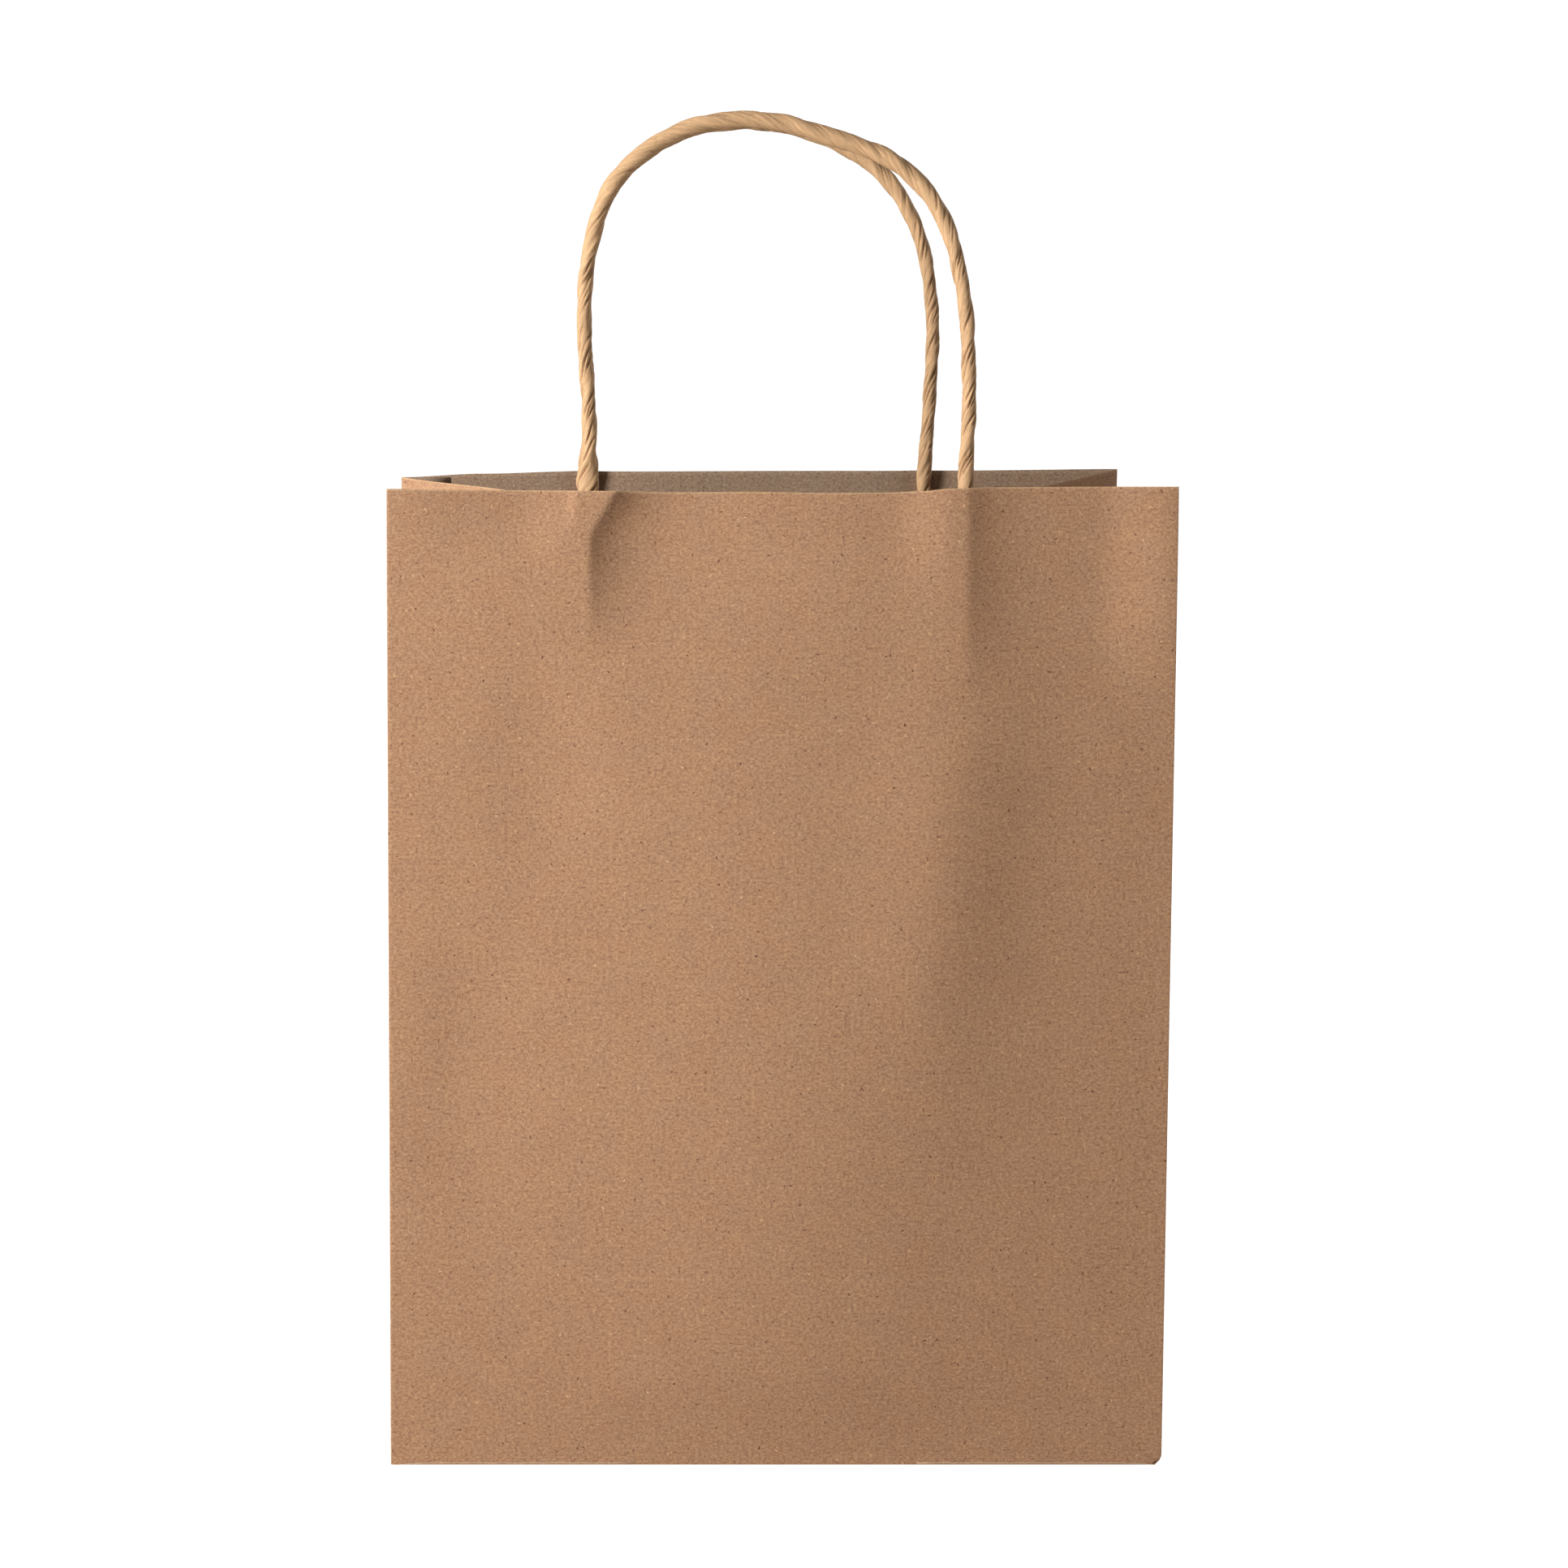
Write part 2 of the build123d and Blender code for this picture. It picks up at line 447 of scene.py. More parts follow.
@dataclass
class FoldedSheet:
    """The bag's one sheet of paper, from flat blank to folded bag.

    The blank runs along u, from the glued seam strip over the left gusset,
    the front panel, the right gusset and the back panel, and up v from the
    edge of the base flaps to the rim.
    """

    sizes: BagSizes
    reliefs: dict[Facing, PanelRelief]
    rim: RimLine = field(default_factory=RimLine)
    columns: tuple[tuple[float, float], ...] = (
        (-0.2350, 0.0050), (-0.2200, 0.0012), (-0.2150, 0.0042), (-0.1150, 0.0012),
        (-0.1050, 0.0026), (-0.0720, 0.0009), (-0.0380, 0.0026), (0.0380, 0.0009),
        (0.0740, 0.0026), (0.1050, 0.0008), (0.1150, 0.0042), (0.2150, 0.0012),
        (0.2250, 0.0033), (0.2620, 0.0018), (0.2980, 0.0036), (0.3620, 0.0018),
        (0.4000, 0.0033), (0.4350, 0.0012), (0.4400, 0.0012),
    )
    rows: tuple[tuple[float, float], ...] = (
        (-0.0700, 0.0055), (-0.0040, 0.0010), (0.0040, 0.0036), (0.2180, 0.0020),
        (0.2500, 0.0014), (0.2780, 0.0014),
    )
    tolerance: float = 0.0003
    reach_of_cell: float = 0.0028
    fold_radius: float = 0.0006
    tight_turn: float = math.radians(50)
    settle_rounds: int = 24
    mark_depth: float = 0.00009
    flap_lift: float = 0.012
    sharp_turn: float = math.radians(28)
    worn_corners: tuple[tuple[int, int, float], ...] = (
        (1, -1, 0.0019), (1, 1, 0.0012), (-1, 1, 0.0015),
    )

    def cut_blank(self) -> bmesh.types.BMesh:
        """Cut the flat blank, with rows that are finer near the rim.

        Returns:
            The blank, still flat, with its creases cut into the mesh.
        """
        s = self.sizes
        across, up = self.places(self.columns), self.places(self.rows)
        mesh = flat_grid((0, 0), (len(across) - 1, len(up) - 1), len(across) - 1, len(up) - 1)
        for vert in mesh.verts:
            vert.co.x = across[round(vert.co.x)]
            vert.co.y = up[round(vert.co.y)]
        self.cut_creases(mesh)
        self.trim_flaps(mesh)
        keep_flat_map(mesh)
        return mesh

    def places(self, bands: tuple[tuple[float, float], ...]) -> list[float]:
        """List the grid's lines along one way of the blank.

        Args:
            bands: Where each band starts and the size of its cells.

        Returns:
            The lines' places, finer beside the cords and at the corners.
        """
        lines = [bands[0][0]]
        for (start, cell), (end, _) in zip(bands, bands[1:]):
            count = max(round((end - start) / cell / 2), 1) * 2
            lines += [start + (end - start) * k / count for k in range(1, count + 1)]
        return lines

    def cut(
        self, mesh: bmesh.types.BMesh, start: tuple[float, float], end: tuple[float, float]
    ) -> None:
        """Cut one straight crease into the part of the blank that it crosses.

        Args:
            mesh: The flat blank.
            start: One end of the crease.
            end: The other end.
        """
        slack = self.reach_of_cell
        low = [min(a, b) - slack for a, b in zip(start, end)]
        high = [max(a, b) + slack for a, b in zip(start, end)]
        faces = [
            face
            for face in mesh.faces
            if all(low[k] <= face.calc_center_median()[k] <= high[k] for k in (0, 1))
        ]
        edges = {edge for face in faces for edge in face.edges}
        verts = {vert for face in faces for vert in face.verts}
        across = Vector((start[1] - end[1], end[0] - start[0], 0)).normalized()
        bmesh.ops.bisect_plane(
            mesh,
            geom=[*verts, *edges, *faces],
            dist=1e-5,
            plane_co=Vector((*start, 0)),
            plane_no=across,
        )

    def crease_lines(self) -> list[tuple[tuple[float, float], tuple[float, float]]]:
        """List the creases that aren't along a column of the grid.

        Returns:
            Each crease's two ends on the blank.
        """
        s = self.sizes
        corner, half = s.half_width, s.half_base
        lines = []
        for side in (-1, 1):
            middle = side * (corner + half)
            lines.append(((side * corner, 0), (middle, half)))
            lines.append(((side * (corner + s.base_depth), 0), (middle, half)))
            lines.append(((side * corner, 0), (side * (corner - half), half)))
            for end in (side * corner, 2 * corner + s.base_depth + side * corner):
                lines.append(((end, 0), (end - side * s.side_flap_reach, -s.side_flap_reach)))
        low_u = -corner - s.base_depth
        lines.append(((low_u, half), (low_u + 2 * (s.width + s.base_depth), half)))
        for middle in (0, s.width + s.base_depth):
            edge = -(s.half_base - s.flap_edge_gap + s.flap_overlap)
            lines.append(((middle - corner, edge), (middle + corner, edge)))
        return lines

    def cut_creases(self, mesh: bmesh.types.BMesh) -> None:
        """Cut every slanting and level crease into the blank."""
        for start, end in self.crease_lines():
            self.cut(mesh, start, end)

    def trim_flaps(self, mesh: bmesh.types.BMesh) -> None:
        """Cut away the paper between the base flaps.

        Args:
            mesh: The blank, with its creases cut.
        """
        s = self.sizes
        panel_edge = -(s.half_base - s.flap_edge_gap + s.flap_overlap)
        waste = []
        for face in mesh.faces:
            u, v, _ = face.calc_center_median()
            if v > 0:
                continue
            panel_middle = 0.0 if abs(u) < s.half_width else s.width + s.base_depth
            past = abs(u - panel_middle) - s.half_width
            on_panel = past < 0
            if u < -s.half_width - s.base_depth or (on_panel and (past > v or v < panel_edge)):
                waste.append(face)
        bmesh.ops.delete(mesh, geom=waste, context="FACES")
        loose = [vert for vert in mesh.verts if not vert.link_faces]
        bmesh.ops.delete(mesh, geom=loose, context="VERTS")

    def wall_point(self, facing: Facing, x: float, up: float, extra: float = 0.0) -> Vector:
        """Place a point of a panel, with the panel's dents.

        Args:
            facing: Which panel.
            x: The place across the bag.
            up: The distance up the panel from the base.
            extra: More depth behind the panel's face.

        Returns:
            The point on the folded bag.
        """
        drop = self.sizes.panel_height - up
        depth = self.reliefs[facing].depth(x, max(drop, 0.0)) + extra
        return self.sizes.behind_rim(facing, x, -drop, depth)

    def gusset_point(self, side: int, across: float, up: float) -> Vector:
        """Place a point of a gusset.

        Args:
            side: -1 for the left gusset and 1 for the right one.
            across: The place across it, 0 at its front crease.
            up: The distance up the blank from the base.

        Returns:
            The point on the folded gusset, whose walls are flat triangles.
        """
        s = self.sizes
        half = s.half_base
        apex_in, top_in = s.gusset_profile()
        facing = -1 if across <= half else 1
        near = half - abs(across - half)
        edge = side * s.half_width
        corner = Vector((edge, facing * half, 0))
        rim = Vector((edge, facing * s.half_mouth, s.rim_height))
        apex = Vector((edge - side * apex_in.x, 0, apex_in.y))
        top = Vector((edge - side * top_in.x, 0, top_in.y))
        if up <= near:
            middle = Vector((edge, 0, 0))
            share = up / half
            spread = (near - half) / half
            return middle.lerp(apex, share) + Vector((0, -facing * half * spread, 0))
        if (up - half) * half <= (s.panel_height - half) * (half - near):
            climb = (rim - corner) * ((up - near) / s.panel_height)
            return corner + climb + (apex - corner) * (near / half)
        return self.inner_point(rim, top, apex, near, up)

    def inner_point(self, rim: Vector, top: Vector, apex: Vector, near: float, up: float) -> Vector:
        """Place a point of the wall between a gusset's bend and its fold.

        Args:
            rim: Where the corner crease meets the rim.
            top: The top of the gusset's centre crease.
            apex: The bottom of the centre crease.
            near: The distance across from the corner crease.
            up: The distance up the blank.

        Returns:
            The point on the flat triangle between the three.
        """
        s = self.sizes
        along_fold = (up - s.half_base) / (s.panel_height - s.half_base)
        away = 1 - near / s.half_base
        return top + (apex - top) * (1 - along_fold) + (rim - top) * away

    def fold_point(self, u: float, v: float) -> Vector:
        """Place any point of the blank on the folded bag.

        Args:
            u: The place along the blank.
            v: The place up the blank.

        Returns:
            The point in the bag's own frame.
        """
        s = self.sizes
        corner = s.half_width
        far = corner + s.base_depth
        if v < 0:
            return self.flap_point(u, -v)
        up = v + self.rim.rise(u, s.panel_height - v)
        if u < -far:
            return self.wall_point(Facing.BACK, -corner - (u + far), up, s.paper)
        if u < -corner:
            return self.gusset_point(-1, -u - corner, up)
        if u <= corner:
            return self.wall_point(Facing.FRONT, u, up)
        if u < far:
            return self.gusset_point(1, u - corner, up)
        return self.wall_point(Facing.BACK, corner - (u - far), up)

    def flap_point(self, u: float, reach: float) -> Vector:
        """Place a point of a base flap.

        Args:
            u: The place along the blank.
            reach: The distance from the flap's crease.

        Returns:
            The point on the bottom, on its own layer of paper.
        """
        s = self.sizes
        layer = s.paper + s.glue
        far = s.half_width + s.base_depth
        if abs(u) < s.half_width - reach / 2:
            lapped = s.half_base - s.flap_overlap
            rise = layer * fade(reach, lapped, lapped - s.flap_overlap)
            return Vector((u, reach - s.half_base, rise))
        if u <= far + reach / 2:
            side = math.copysign(1, u)
            y = abs(u) - s.half_width - s.half_base
            rise = 2 * layer * fade(reach, self.flap_lift, 0)
            return Vector((side * (s.half_width - reach), y, rise))
        return Vector((s.half_width - (u - far), s.half_base - reach, 0))

    def on_crease(self, u: float, v: float) -> bool:
        """Say whether a place on a gusset is on a crease, which stays put.

        Args:
            u: The place along the blank.
            v: The place up the blank.

        Returns:
            True on a crease or the rim.
        """
        s = self.sizes
        near = s.half_base - abs(abs(u) - s.half_width - s.half_base)
        slack = self.tolerance
        on_fold = near > s.half_base - slack and v >= s.half_base - slack
        on_rim = v > s.panel_height - slack
        return near < slack or on_fold or on_rim or abs(v - near) < slack or v < slack

    def fold(self, mesh: bmesh.types.BMesh) -> None:
        """Fold the blank into the bag, and let its gussets bend softly.

        Args:
            mesh: The flat blank, which this changes.
        """
        s = self.sizes
        soft, marked = [], []
        for vert in mesh.verts:
            u, v, _ = vert.co
            on_gusset = s.half_width < abs(u) < s.half_width + s.base_depth
            if on_gusset and v > 0 and not self.on_crease(u, v):
                soft.append(vert)
            if self.on_mark(u, v):
                marked.append(vert)
            vert.co = self.fold_point(u, v)
        for _ in range(self.settle_rounds):
            bmesh.ops.smooth_vert(
                mesh, verts=soft, factor=0.5, use_axis_x=True, use_axis_y=True, use_axis_z=True
            )
        mesh.normal_update()
        for vert, inwards in [(vert, -vert.normal) for vert in marked]:
            vert.co += inwards * self.mark_depth
        for side, facing, radius in self.worn_corners:
            self.wear_corner(mesh, side, facing, radius)
        self.round_folds(mesh)

    def round_folds(self, mesh: bmesh.types.BMesh) -> None:
        """Give the tight folds the small radius that paper keeps.

        Args:
            mesh: The folded sheet.
        """
        folds = [
            edge
            for edge in mesh.edges
            if len(edge.link_faces) == 2 and edge.calc_face_angle(0.0) > self.tight_turn
        ]
        bmesh.ops.bevel(
            mesh,
            geom=folds,
            offset=self.fold_radius,
            offset_type="OFFSET",
            affect="EDGES",
            segments=3,
            profile=0.5,
            material=-1,
            clamp_overlap=True,
        )

    def wear_corner(self, mesh: bmesh.types.BMesh, side: int, facing: int, radius: float) -> None:
        """Blunt one bottom corner of the folded bag.

        Args:
            mesh: The folded sheet.
            side: -1 for the left and 1 for the right.
            facing: -1 for the front and 1 for the back.
            radius: The corner's radius in metres.
        """
        s = self.sizes
        middle = Vector((side * (s.half_width - radius), facing * (s.half_base - radius), radius))
        for vert in mesh.verts:
            out = vert.co - middle
            if out.x * side > 0 and out.y * facing > 0 and out.z < 0 and out.length > radius:
                vert.co = middle + out.normalized() * radius

    def on_mark(self, u: float, v: float) -> bool:
        """Say whether a place is on an old fold line of the flat-packed bag.

        Args:
            u: The place along the blank.
            v: The place up the blank.

        Returns:
            True on one of the lines.
        """
        s = self.sizes
        if not 0 < v < s.half_base + self.mark_depth:
            return False
        slack = self.tolerance
        on_level = abs(v - s.half_base) < slack and abs(abs(u) - s.half_width) > slack
        on_slant = abs(u) < s.half_width and abs(s.half_width - abs(u) - v) < slack
        return (on_level and abs(u) < s.half_width - s.half_base) or on_slant

    def sharpen(self, mesh: bmesh.types.BMesh) -> None:
        """Mark the edges along true folds as sharp and the rest as smooth.

        Args:
            mesh: The folded sheet.
        """
        for face in mesh.faces:
            face.smooth = True
        for edge in mesh.edges:
            if len(edge.link_faces) == 2:
                turn = edge.calc_face_angle(0.0)
                edge.smooth = turn < self.sharp_turn

    def build(
        self, paper: bpy.types.Material, edge: bpy.types.Material, inner: bpy.types.Material
    ) -> bpy.types.Object:
        """Cut, fold and finish the sheet.

        Args:
            paper: The finish of the sheet's outer side.
            edge: The finish of its cut edge.
            inner: The finish of its inner side, a darker, greyer kraft that paints shade on the
                inside of the bag.

        Returns:
            The bag's paper as one piece.
        """
        mesh = self.cut_blank()
        self.fold(mesh)
        self.sharpen(mesh)
        piece = new_piece("bag_paper", mesh, paper, edge, inner)
        give_thickness(piece, self.sizes.paper)
        return piece


# ------------------------------------------------------------ the patches


@dataclass
class HandlePatch:
    """Two plies of paper that hold the ends of one cord inside the rim."""

    sizes: BagSizes
    facing: Facing
    relief: PanelRelief
    legs: tuple[float, float]
    cell: float = 0.0012
    ply: float = 0.00015
    hump_width: float = 0.0026
    hump_clearance: float = 0.00015
    hump_fade: float = 0.006
    wrinkle: float = 0.00025
    wrinkle_length: float = 0.009
    loose_inset: float = 0.008
    stuck_inset: float = 0.001

    def hump(self, x: float, drop: float) -> float:
        """Give how far the cover stands off its backing.

        Args:
            x: The place across the bag.
            drop: The distance below the rim.

        Returns:
            The height of the paper over the cord, in metres.
        """
        s = self.sizes
        height = s.ply_two - s.paper - self.ply + s.cord + self.hump_clearance
        reach = min(abs(x - leg) for leg in self.legs) / self.hump_width
        length = fade(drop, s.cord_glued, s.cord_glued + self.hump_fade)
        crumple = noise.noise(Vector((x, drop, self.facing.value)) / self.wrinkle_length)
        inset = min(
            x - min(self.legs) + s.patch_margin,
            max(self.legs) + s.patch_margin - x,
            drop - s.patch_drop,
            s.patch_drop + s.patch_depth - drop,
        )
        loose = self.wrinkle * (crumple + 1) * 0.5 * fade(inset, self.loose_inset, self.stuck_inset)
        return height * math.exp(-(reach**3)) * length + loose

    def make_ply(self, name: str, depth: float, humped: bool) -> bmesh.types.BMesh:
        """Make one ply of the patch.

        Args:
            name: The ply's name, for the log.
            depth: How deep its outer face lies behind the panel's.
            humped: Whether it rises over the cord.

        Returns:
            The ply's mesh, facing out of the bag.
        """
        s = self.sizes
        low = (min(self.legs) - s.patch_margin, s.patch_drop)
        high = (max(self.legs) + s.patch_margin, s.patch_drop + s.patch_depth)
        columns = round((high[0] - low[0]) / self.cell)
        rows = round((high[1] - low[1]) / self.cell)
        mesh = flat_grid(low, high, columns, rows)
        keep_flat_map(mesh)
        for vert in mesh.verts:
            x, drop, _ = vert.co
            extra = self.hump(x, drop) if humped else 0.0
            sink = self.relief.depth(x, drop) + depth + extra
            vert.co = s.behind_rim(self.facing, x, -drop, sink)
        if self.facing is Facing.FRONT:
            bmesh.ops.reverse_faces(mesh, faces=mesh.faces)
        for face in mesh.faces:
            face.smooth = True
        LOG.info("%s: %d faces", name, len(mesh.faces))
        return mesh

    def build(self, paper: bpy.types.Material, edge: bpy.types.Material) -> list[bpy.types.Object]:
        """Make both plies and say what they stand for.

        Args:
            paper: The patch's finish, a darker kraft tone that paints shade on the patch inside the
                bag.
            edge: The finish of its cut edges.

        Returns:
            The backing and the cover.
        """
        s = self.sizes
        pieces = []
        for layer, depth in (("backing", s.paper), ("cover", s.paper + self.ply)):
            node = f"{self.facing.word}_patch_{layer}"
            mesh = self.make_ply(node, depth, layer == "cover")
            piece = new_piece(f"{node}_paper", mesh, paper, edge, paper)
            give_thickness(piece, self.ply)
            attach(piece, "bag")
            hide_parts(node)
            pieces.append(piece)
        return pieces


# -------------------------------------------------------------- the cords


@dataclass(frozen=True)
class CordCrease:
    """One helical crease of a twisted paper cord."""

    turn: float
    depth: float
    seed: float
    steep: float = 0.00013
    gentle: float = 0.00038
    spell: float = 0.0075
    swing: float = 3.2
    bias: float = 0.1

    def groove(self, offset: float, along: float) -> float:
        """Give the depth of the crease near it.

        Args:
            offset: The distance round the cord from the crease.
            along: The distance along the cord.

        Returns:
            The depth in metres.
        """
        comes_and_goes = noise.noise(Vector((along / self.spell, self.seed, 0.5)))
        strength = min(max(comes_and_goes * self.swing + self.bias, 0.0), 1.0)
        width = self.steep if offset < 0 else self.gentle
        return self.depth * strength * math.exp(-((offset / width) ** 2))


@dataclass
class TwistedCord:
    """One handle: a strip of kraft paper twisted into a cord.

    The route is across the bag and up from the height where the cord bends,
    in metres.
    """

    sizes: BagSizes
    facing: Facing
    route: tuple[tuple[float, float], ...]
    seed: int
    leg_radius: float = 0.00200
    arch_radius: float = 0.00238
    flares: tuple[float, float] = (0.55, 0.14)
    flare_reach: float = 0.007
    flare_below: float = 0.004
    unevenness: float = 0.00012
    oval: float = 0.045
    three_sided: float = 0.03
    crumple: float = 0.022
    wander: float = 0.5
    crease_bend: float = 0.42
    bend_length: float = 0.009
    pitch: float = 0.027
    step: float = 0.00036
    around: int = 56
    crease_count: int = 15
    crease_depth: float = 0.00048
    arch_share: float = 0.45
    foot_share: float = 0.3
    lap: float = 0.00018

    def line_points(self) -> list[Vector]:
        """List the control points of the whole cord, with its glued ends.

        Returns:
            The points, from one glued end to the other.
        """
        s = self.sizes
        below = -s.cord_glued
        start, end = self.route[0][0], self.route[-1][0]
        ups = [(x, s.bend_rise + up) for x, up in self.route]
        ends_a = [(start, below), (start, below / 2)]
        ends_b = [(end, below / 2), (end, below)]
        return [
            s.behind_rim(self.facing, x, up, s.cord_depth) for x, up in (*ends_a, *ups, *ends_b)
        ]

    def centreline(self) -> list[Vector]:
        """Read evenly spaced points from the cord's NURBS spline.

        Returns:
            The points, a step apart, from one glued end to the other.
        """
        curve = bpy.data.curves.new("cord_line", "CURVE")
        curve.dimensions = "3D"
        curve.resolution_u = 24
        spline = curve.splines.new("NURBS")
        points = self.line_points()
        spline.points.add(len(points) - 1)
        for target, point in zip(spline.points, points):
            target.co = (*point, 1.0)
        spline.order_u = 3
        spline.use_endpoint_u = True
        holder = bpy.data.objects.new("cord_line", curve)
        bpy.context.scene.collection.objects.link(holder)
        mesh = bpy.data.meshes.new_from_object(holder)
        line = [vert.co.copy() for vert in mesh.vertices]
        bpy.data.objects.remove(holder)
        bpy.data.curves.remove(curve)
        bpy.data.meshes.remove(mesh)
        return self.even_steps(line)

    def even_steps(self, line: list[Vector]) -> list[Vector]:
        """Space points evenly along a line.

        Args:
            line: The points of the line.

        Returns:
            Points about a step apart, with both ends kept.
        """
        reach = [0.0]
        for a, b in zip(line, line[1:]):
            reach.append(reach[-1] + (b - a).length)
        count = round(reach[-1] / self.step)
        points, k = [], 0
        for i in range(count + 1):
            target = reach[-1] * i / count
            while k < len(line) - 2 and reach[k + 1] < target:
                k += 1
            share = (target - reach[k]) / max(reach[k + 1] - reach[k], 1e-9)
            points.append(line[k].lerp(line[k + 1], min(share, 1.0)))
        return points

    def creases(self) -> list[CordCrease]:
        """Place the creases round the cord, unevenly.

        Returns:
            The creases, each with its own depth and seed.
        """
        chance = random.Random(self.seed)
        found = []
        for k in range(self.crease_count):
            turn = (k + chance.uniform(-0.35, 0.35)) * math.tau / self.crease_count
            depth = self.crease_depth * chance.uniform(0.55, 1.1)
            found.append(CordCrease(turn, depth, chance.uniform(0, 90)))
        return found

    def radius(self, up: float, along: float) -> float:
        """Give the cord's mean radius at a height.

        Args:
            up: The height above the rim.
            along: The distance along the cord.

        Returns:
            The radius in metres.
        """
        top = max(point[1] for point in self.route)
        share = fade(up, top * 0.9, top * 0.55)
        base = self.leg_radius + (self.arch_radius - self.leg_radius) * share
        return base + self.unevenness * noise.noise(Vector((along / 0.011, self.seed, 0)))

    def spread(self, up: float, first: bool) -> float:
        """Give how much wider the cord is pressed where it leaves the bag.

        Args:
            up: The height above the rim.
            first: Whether this is the first leg.

        Returns:
            The extra width as a share of the width.
        """
        share = math.exp(-((max(up, 0.0) / self.flare_reach) ** 2)) * fade(up, 0, -self.flare_below)
        return self.flares[0 if first else 1] * share

    def surface(
        self, angle: float, along: float, up: float, creases: list[CordCrease]
    ) -> tuple[float, float]:
        """Give the cord's surface at one place.

        Args:
            angle: The angle round the cord.
            along: The distance along it.
            up: The height above the rim.
            creases: The cord's creases.

        Returns:
            The distance from the centreline, and how deep in a crease it is.
        """
        mean = self.radius(up, along)
        wander = self.wander * noise.noise(Vector((along / 0.02, self.seed * 1.7, 3.1)))
        twisted = angle + along * math.tau / self.pitch + wander
        shape = self.oval * math.cos(2 * twisted + self.seed)
        shape += self.three_sided * math.cos(3 * twisted + 2.0)
        fine = Vector((math.cos(twisted) * 2.2, math.sin(twisted) * 2.2, along / 0.03 + self.seed))
        shape += self.crumple * noise.noise(fine * 1.9)
        groove = 0.0
        top = max(point[1] for point in self.route)
        share = 1 - (1 - self.arch_share) * fade(up, top * 0.95, top * 0.5)
        share += self.foot_share * fade(up, 0.014, 0.045)
        for crease in creases:
            bend = self.crease_bend * noise.noise(Vector((along / 0.007, crease.seed, 7.7)))
            offset = math.remainder(twisted - crease.turn + bend, math.tau) * mean
            groove = max(groove, crease.groove(offset, along) * share)
        lapped = math.remainder(twisted + 0.8, math.tau) / math.tau + 0.5
        step = self.lap * (lapped**3 - 0.25) * fade(lapped, 0.97, 1.0)
        return mean * (1 + shape) - groove + step, groove / self.crease_depth

    def build(self, finish: bpy.types.Material) -> bpy.types.Object:
        """Twist the strip into the cord.

        Args:
            finish: The cord's finish.

        Returns:
            The cord as one closed piece.
        """
        s = self.sizes
        line = self.centreline()
        count = len(line) - 1
        mesh = flat_grid((0, 0), (count, self.around), count, self.around)
        flat = mesh.loops.layers.uv.new(FLAT_NAME)
        for face in mesh.faces:
            for loop in face.loops:
                along, turn, _ = loop.vert.co
                loop[flat].uv = (along * self.step, turn / self.around * math.tau * self.leg_radius)
        depth_of = mesh.verts.layers.float.new("crease")
        creases = self.creases()
        across_plane = (
            s.behind_rim(self.facing, 0, 0, 1) - s.behind_rim(self.facing, 0, 0, 0)
        ).normalized()
        rim = s.behind_rim(self.facing, 0, 0, s.cord_depth)
        low, high = (s.behind_rim(self.facing, 0, level, 0) for level in (0, 1))
        upward = (high - low).normalized()
        for vert in mesh.verts:
            ring, turn = round(vert.co.x), round(vert.co.y) % self.around
            centre = line[ring]
            ahead = (line[min(ring + 1, count)] - line[max(ring - 1, 0)]).normalized()
            sideways = ahead.cross(across_plane).normalized()
            angle = turn * math.tau / self.around
            up = (centre - rim).dot(upward)
            distance, deep = self.surface(angle, ring * self.step, up, creases)
            wide = 1 + self.spread(up, ring < count / 2)
            out = sideways * math.cos(angle) * wide + across_plane * math.sin(angle)
            vert.co = centre + out * distance
            # The crease depth is kept for the cord's finish, which uses it to paint shade into the
            # creases.
            vert[depth_of] = deep
        bmesh.ops.remove_doubles(mesh, verts=mesh.verts, dist=1e-7)
        ends = [edge for edge in mesh.edges if edge.is_boundary]
        bmesh.ops.holes_fill(mesh, edges=ends, sides=self.around + 1)
        bmesh.ops.recalc_face_normals(mesh, faces=mesh.faces)
        for face in mesh.faces:
            face.smooth = len(face.verts) < 5
        piece = new_piece(f"{self.facing.word}_cord", mesh, finish)
        self.declare(piece)
        return piece

    def declare(self, piece: bpy.types.Object) -> None:
        """Bake the cord's place into its mesh and hide the model parts that it stands for.

        Args:
            piece: The finished cord.
        """
        s = self.sizes
        word = self.facing.word
        leg = self.route[0][0]
        start = s.behind_rim(self.facing, leg, 0, s.cord_depth)
        end = s.behind_rim(self.facing, leg, self.bend_length, s.cord_depth)
        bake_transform(piece)
        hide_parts(f"{word}_handle", f"{word}_cord_ends")
        s.behind_rim(self.facing, leg, -s.patch_drop, s.cord_depth)


# ------------------------------------------------------------ the finishes


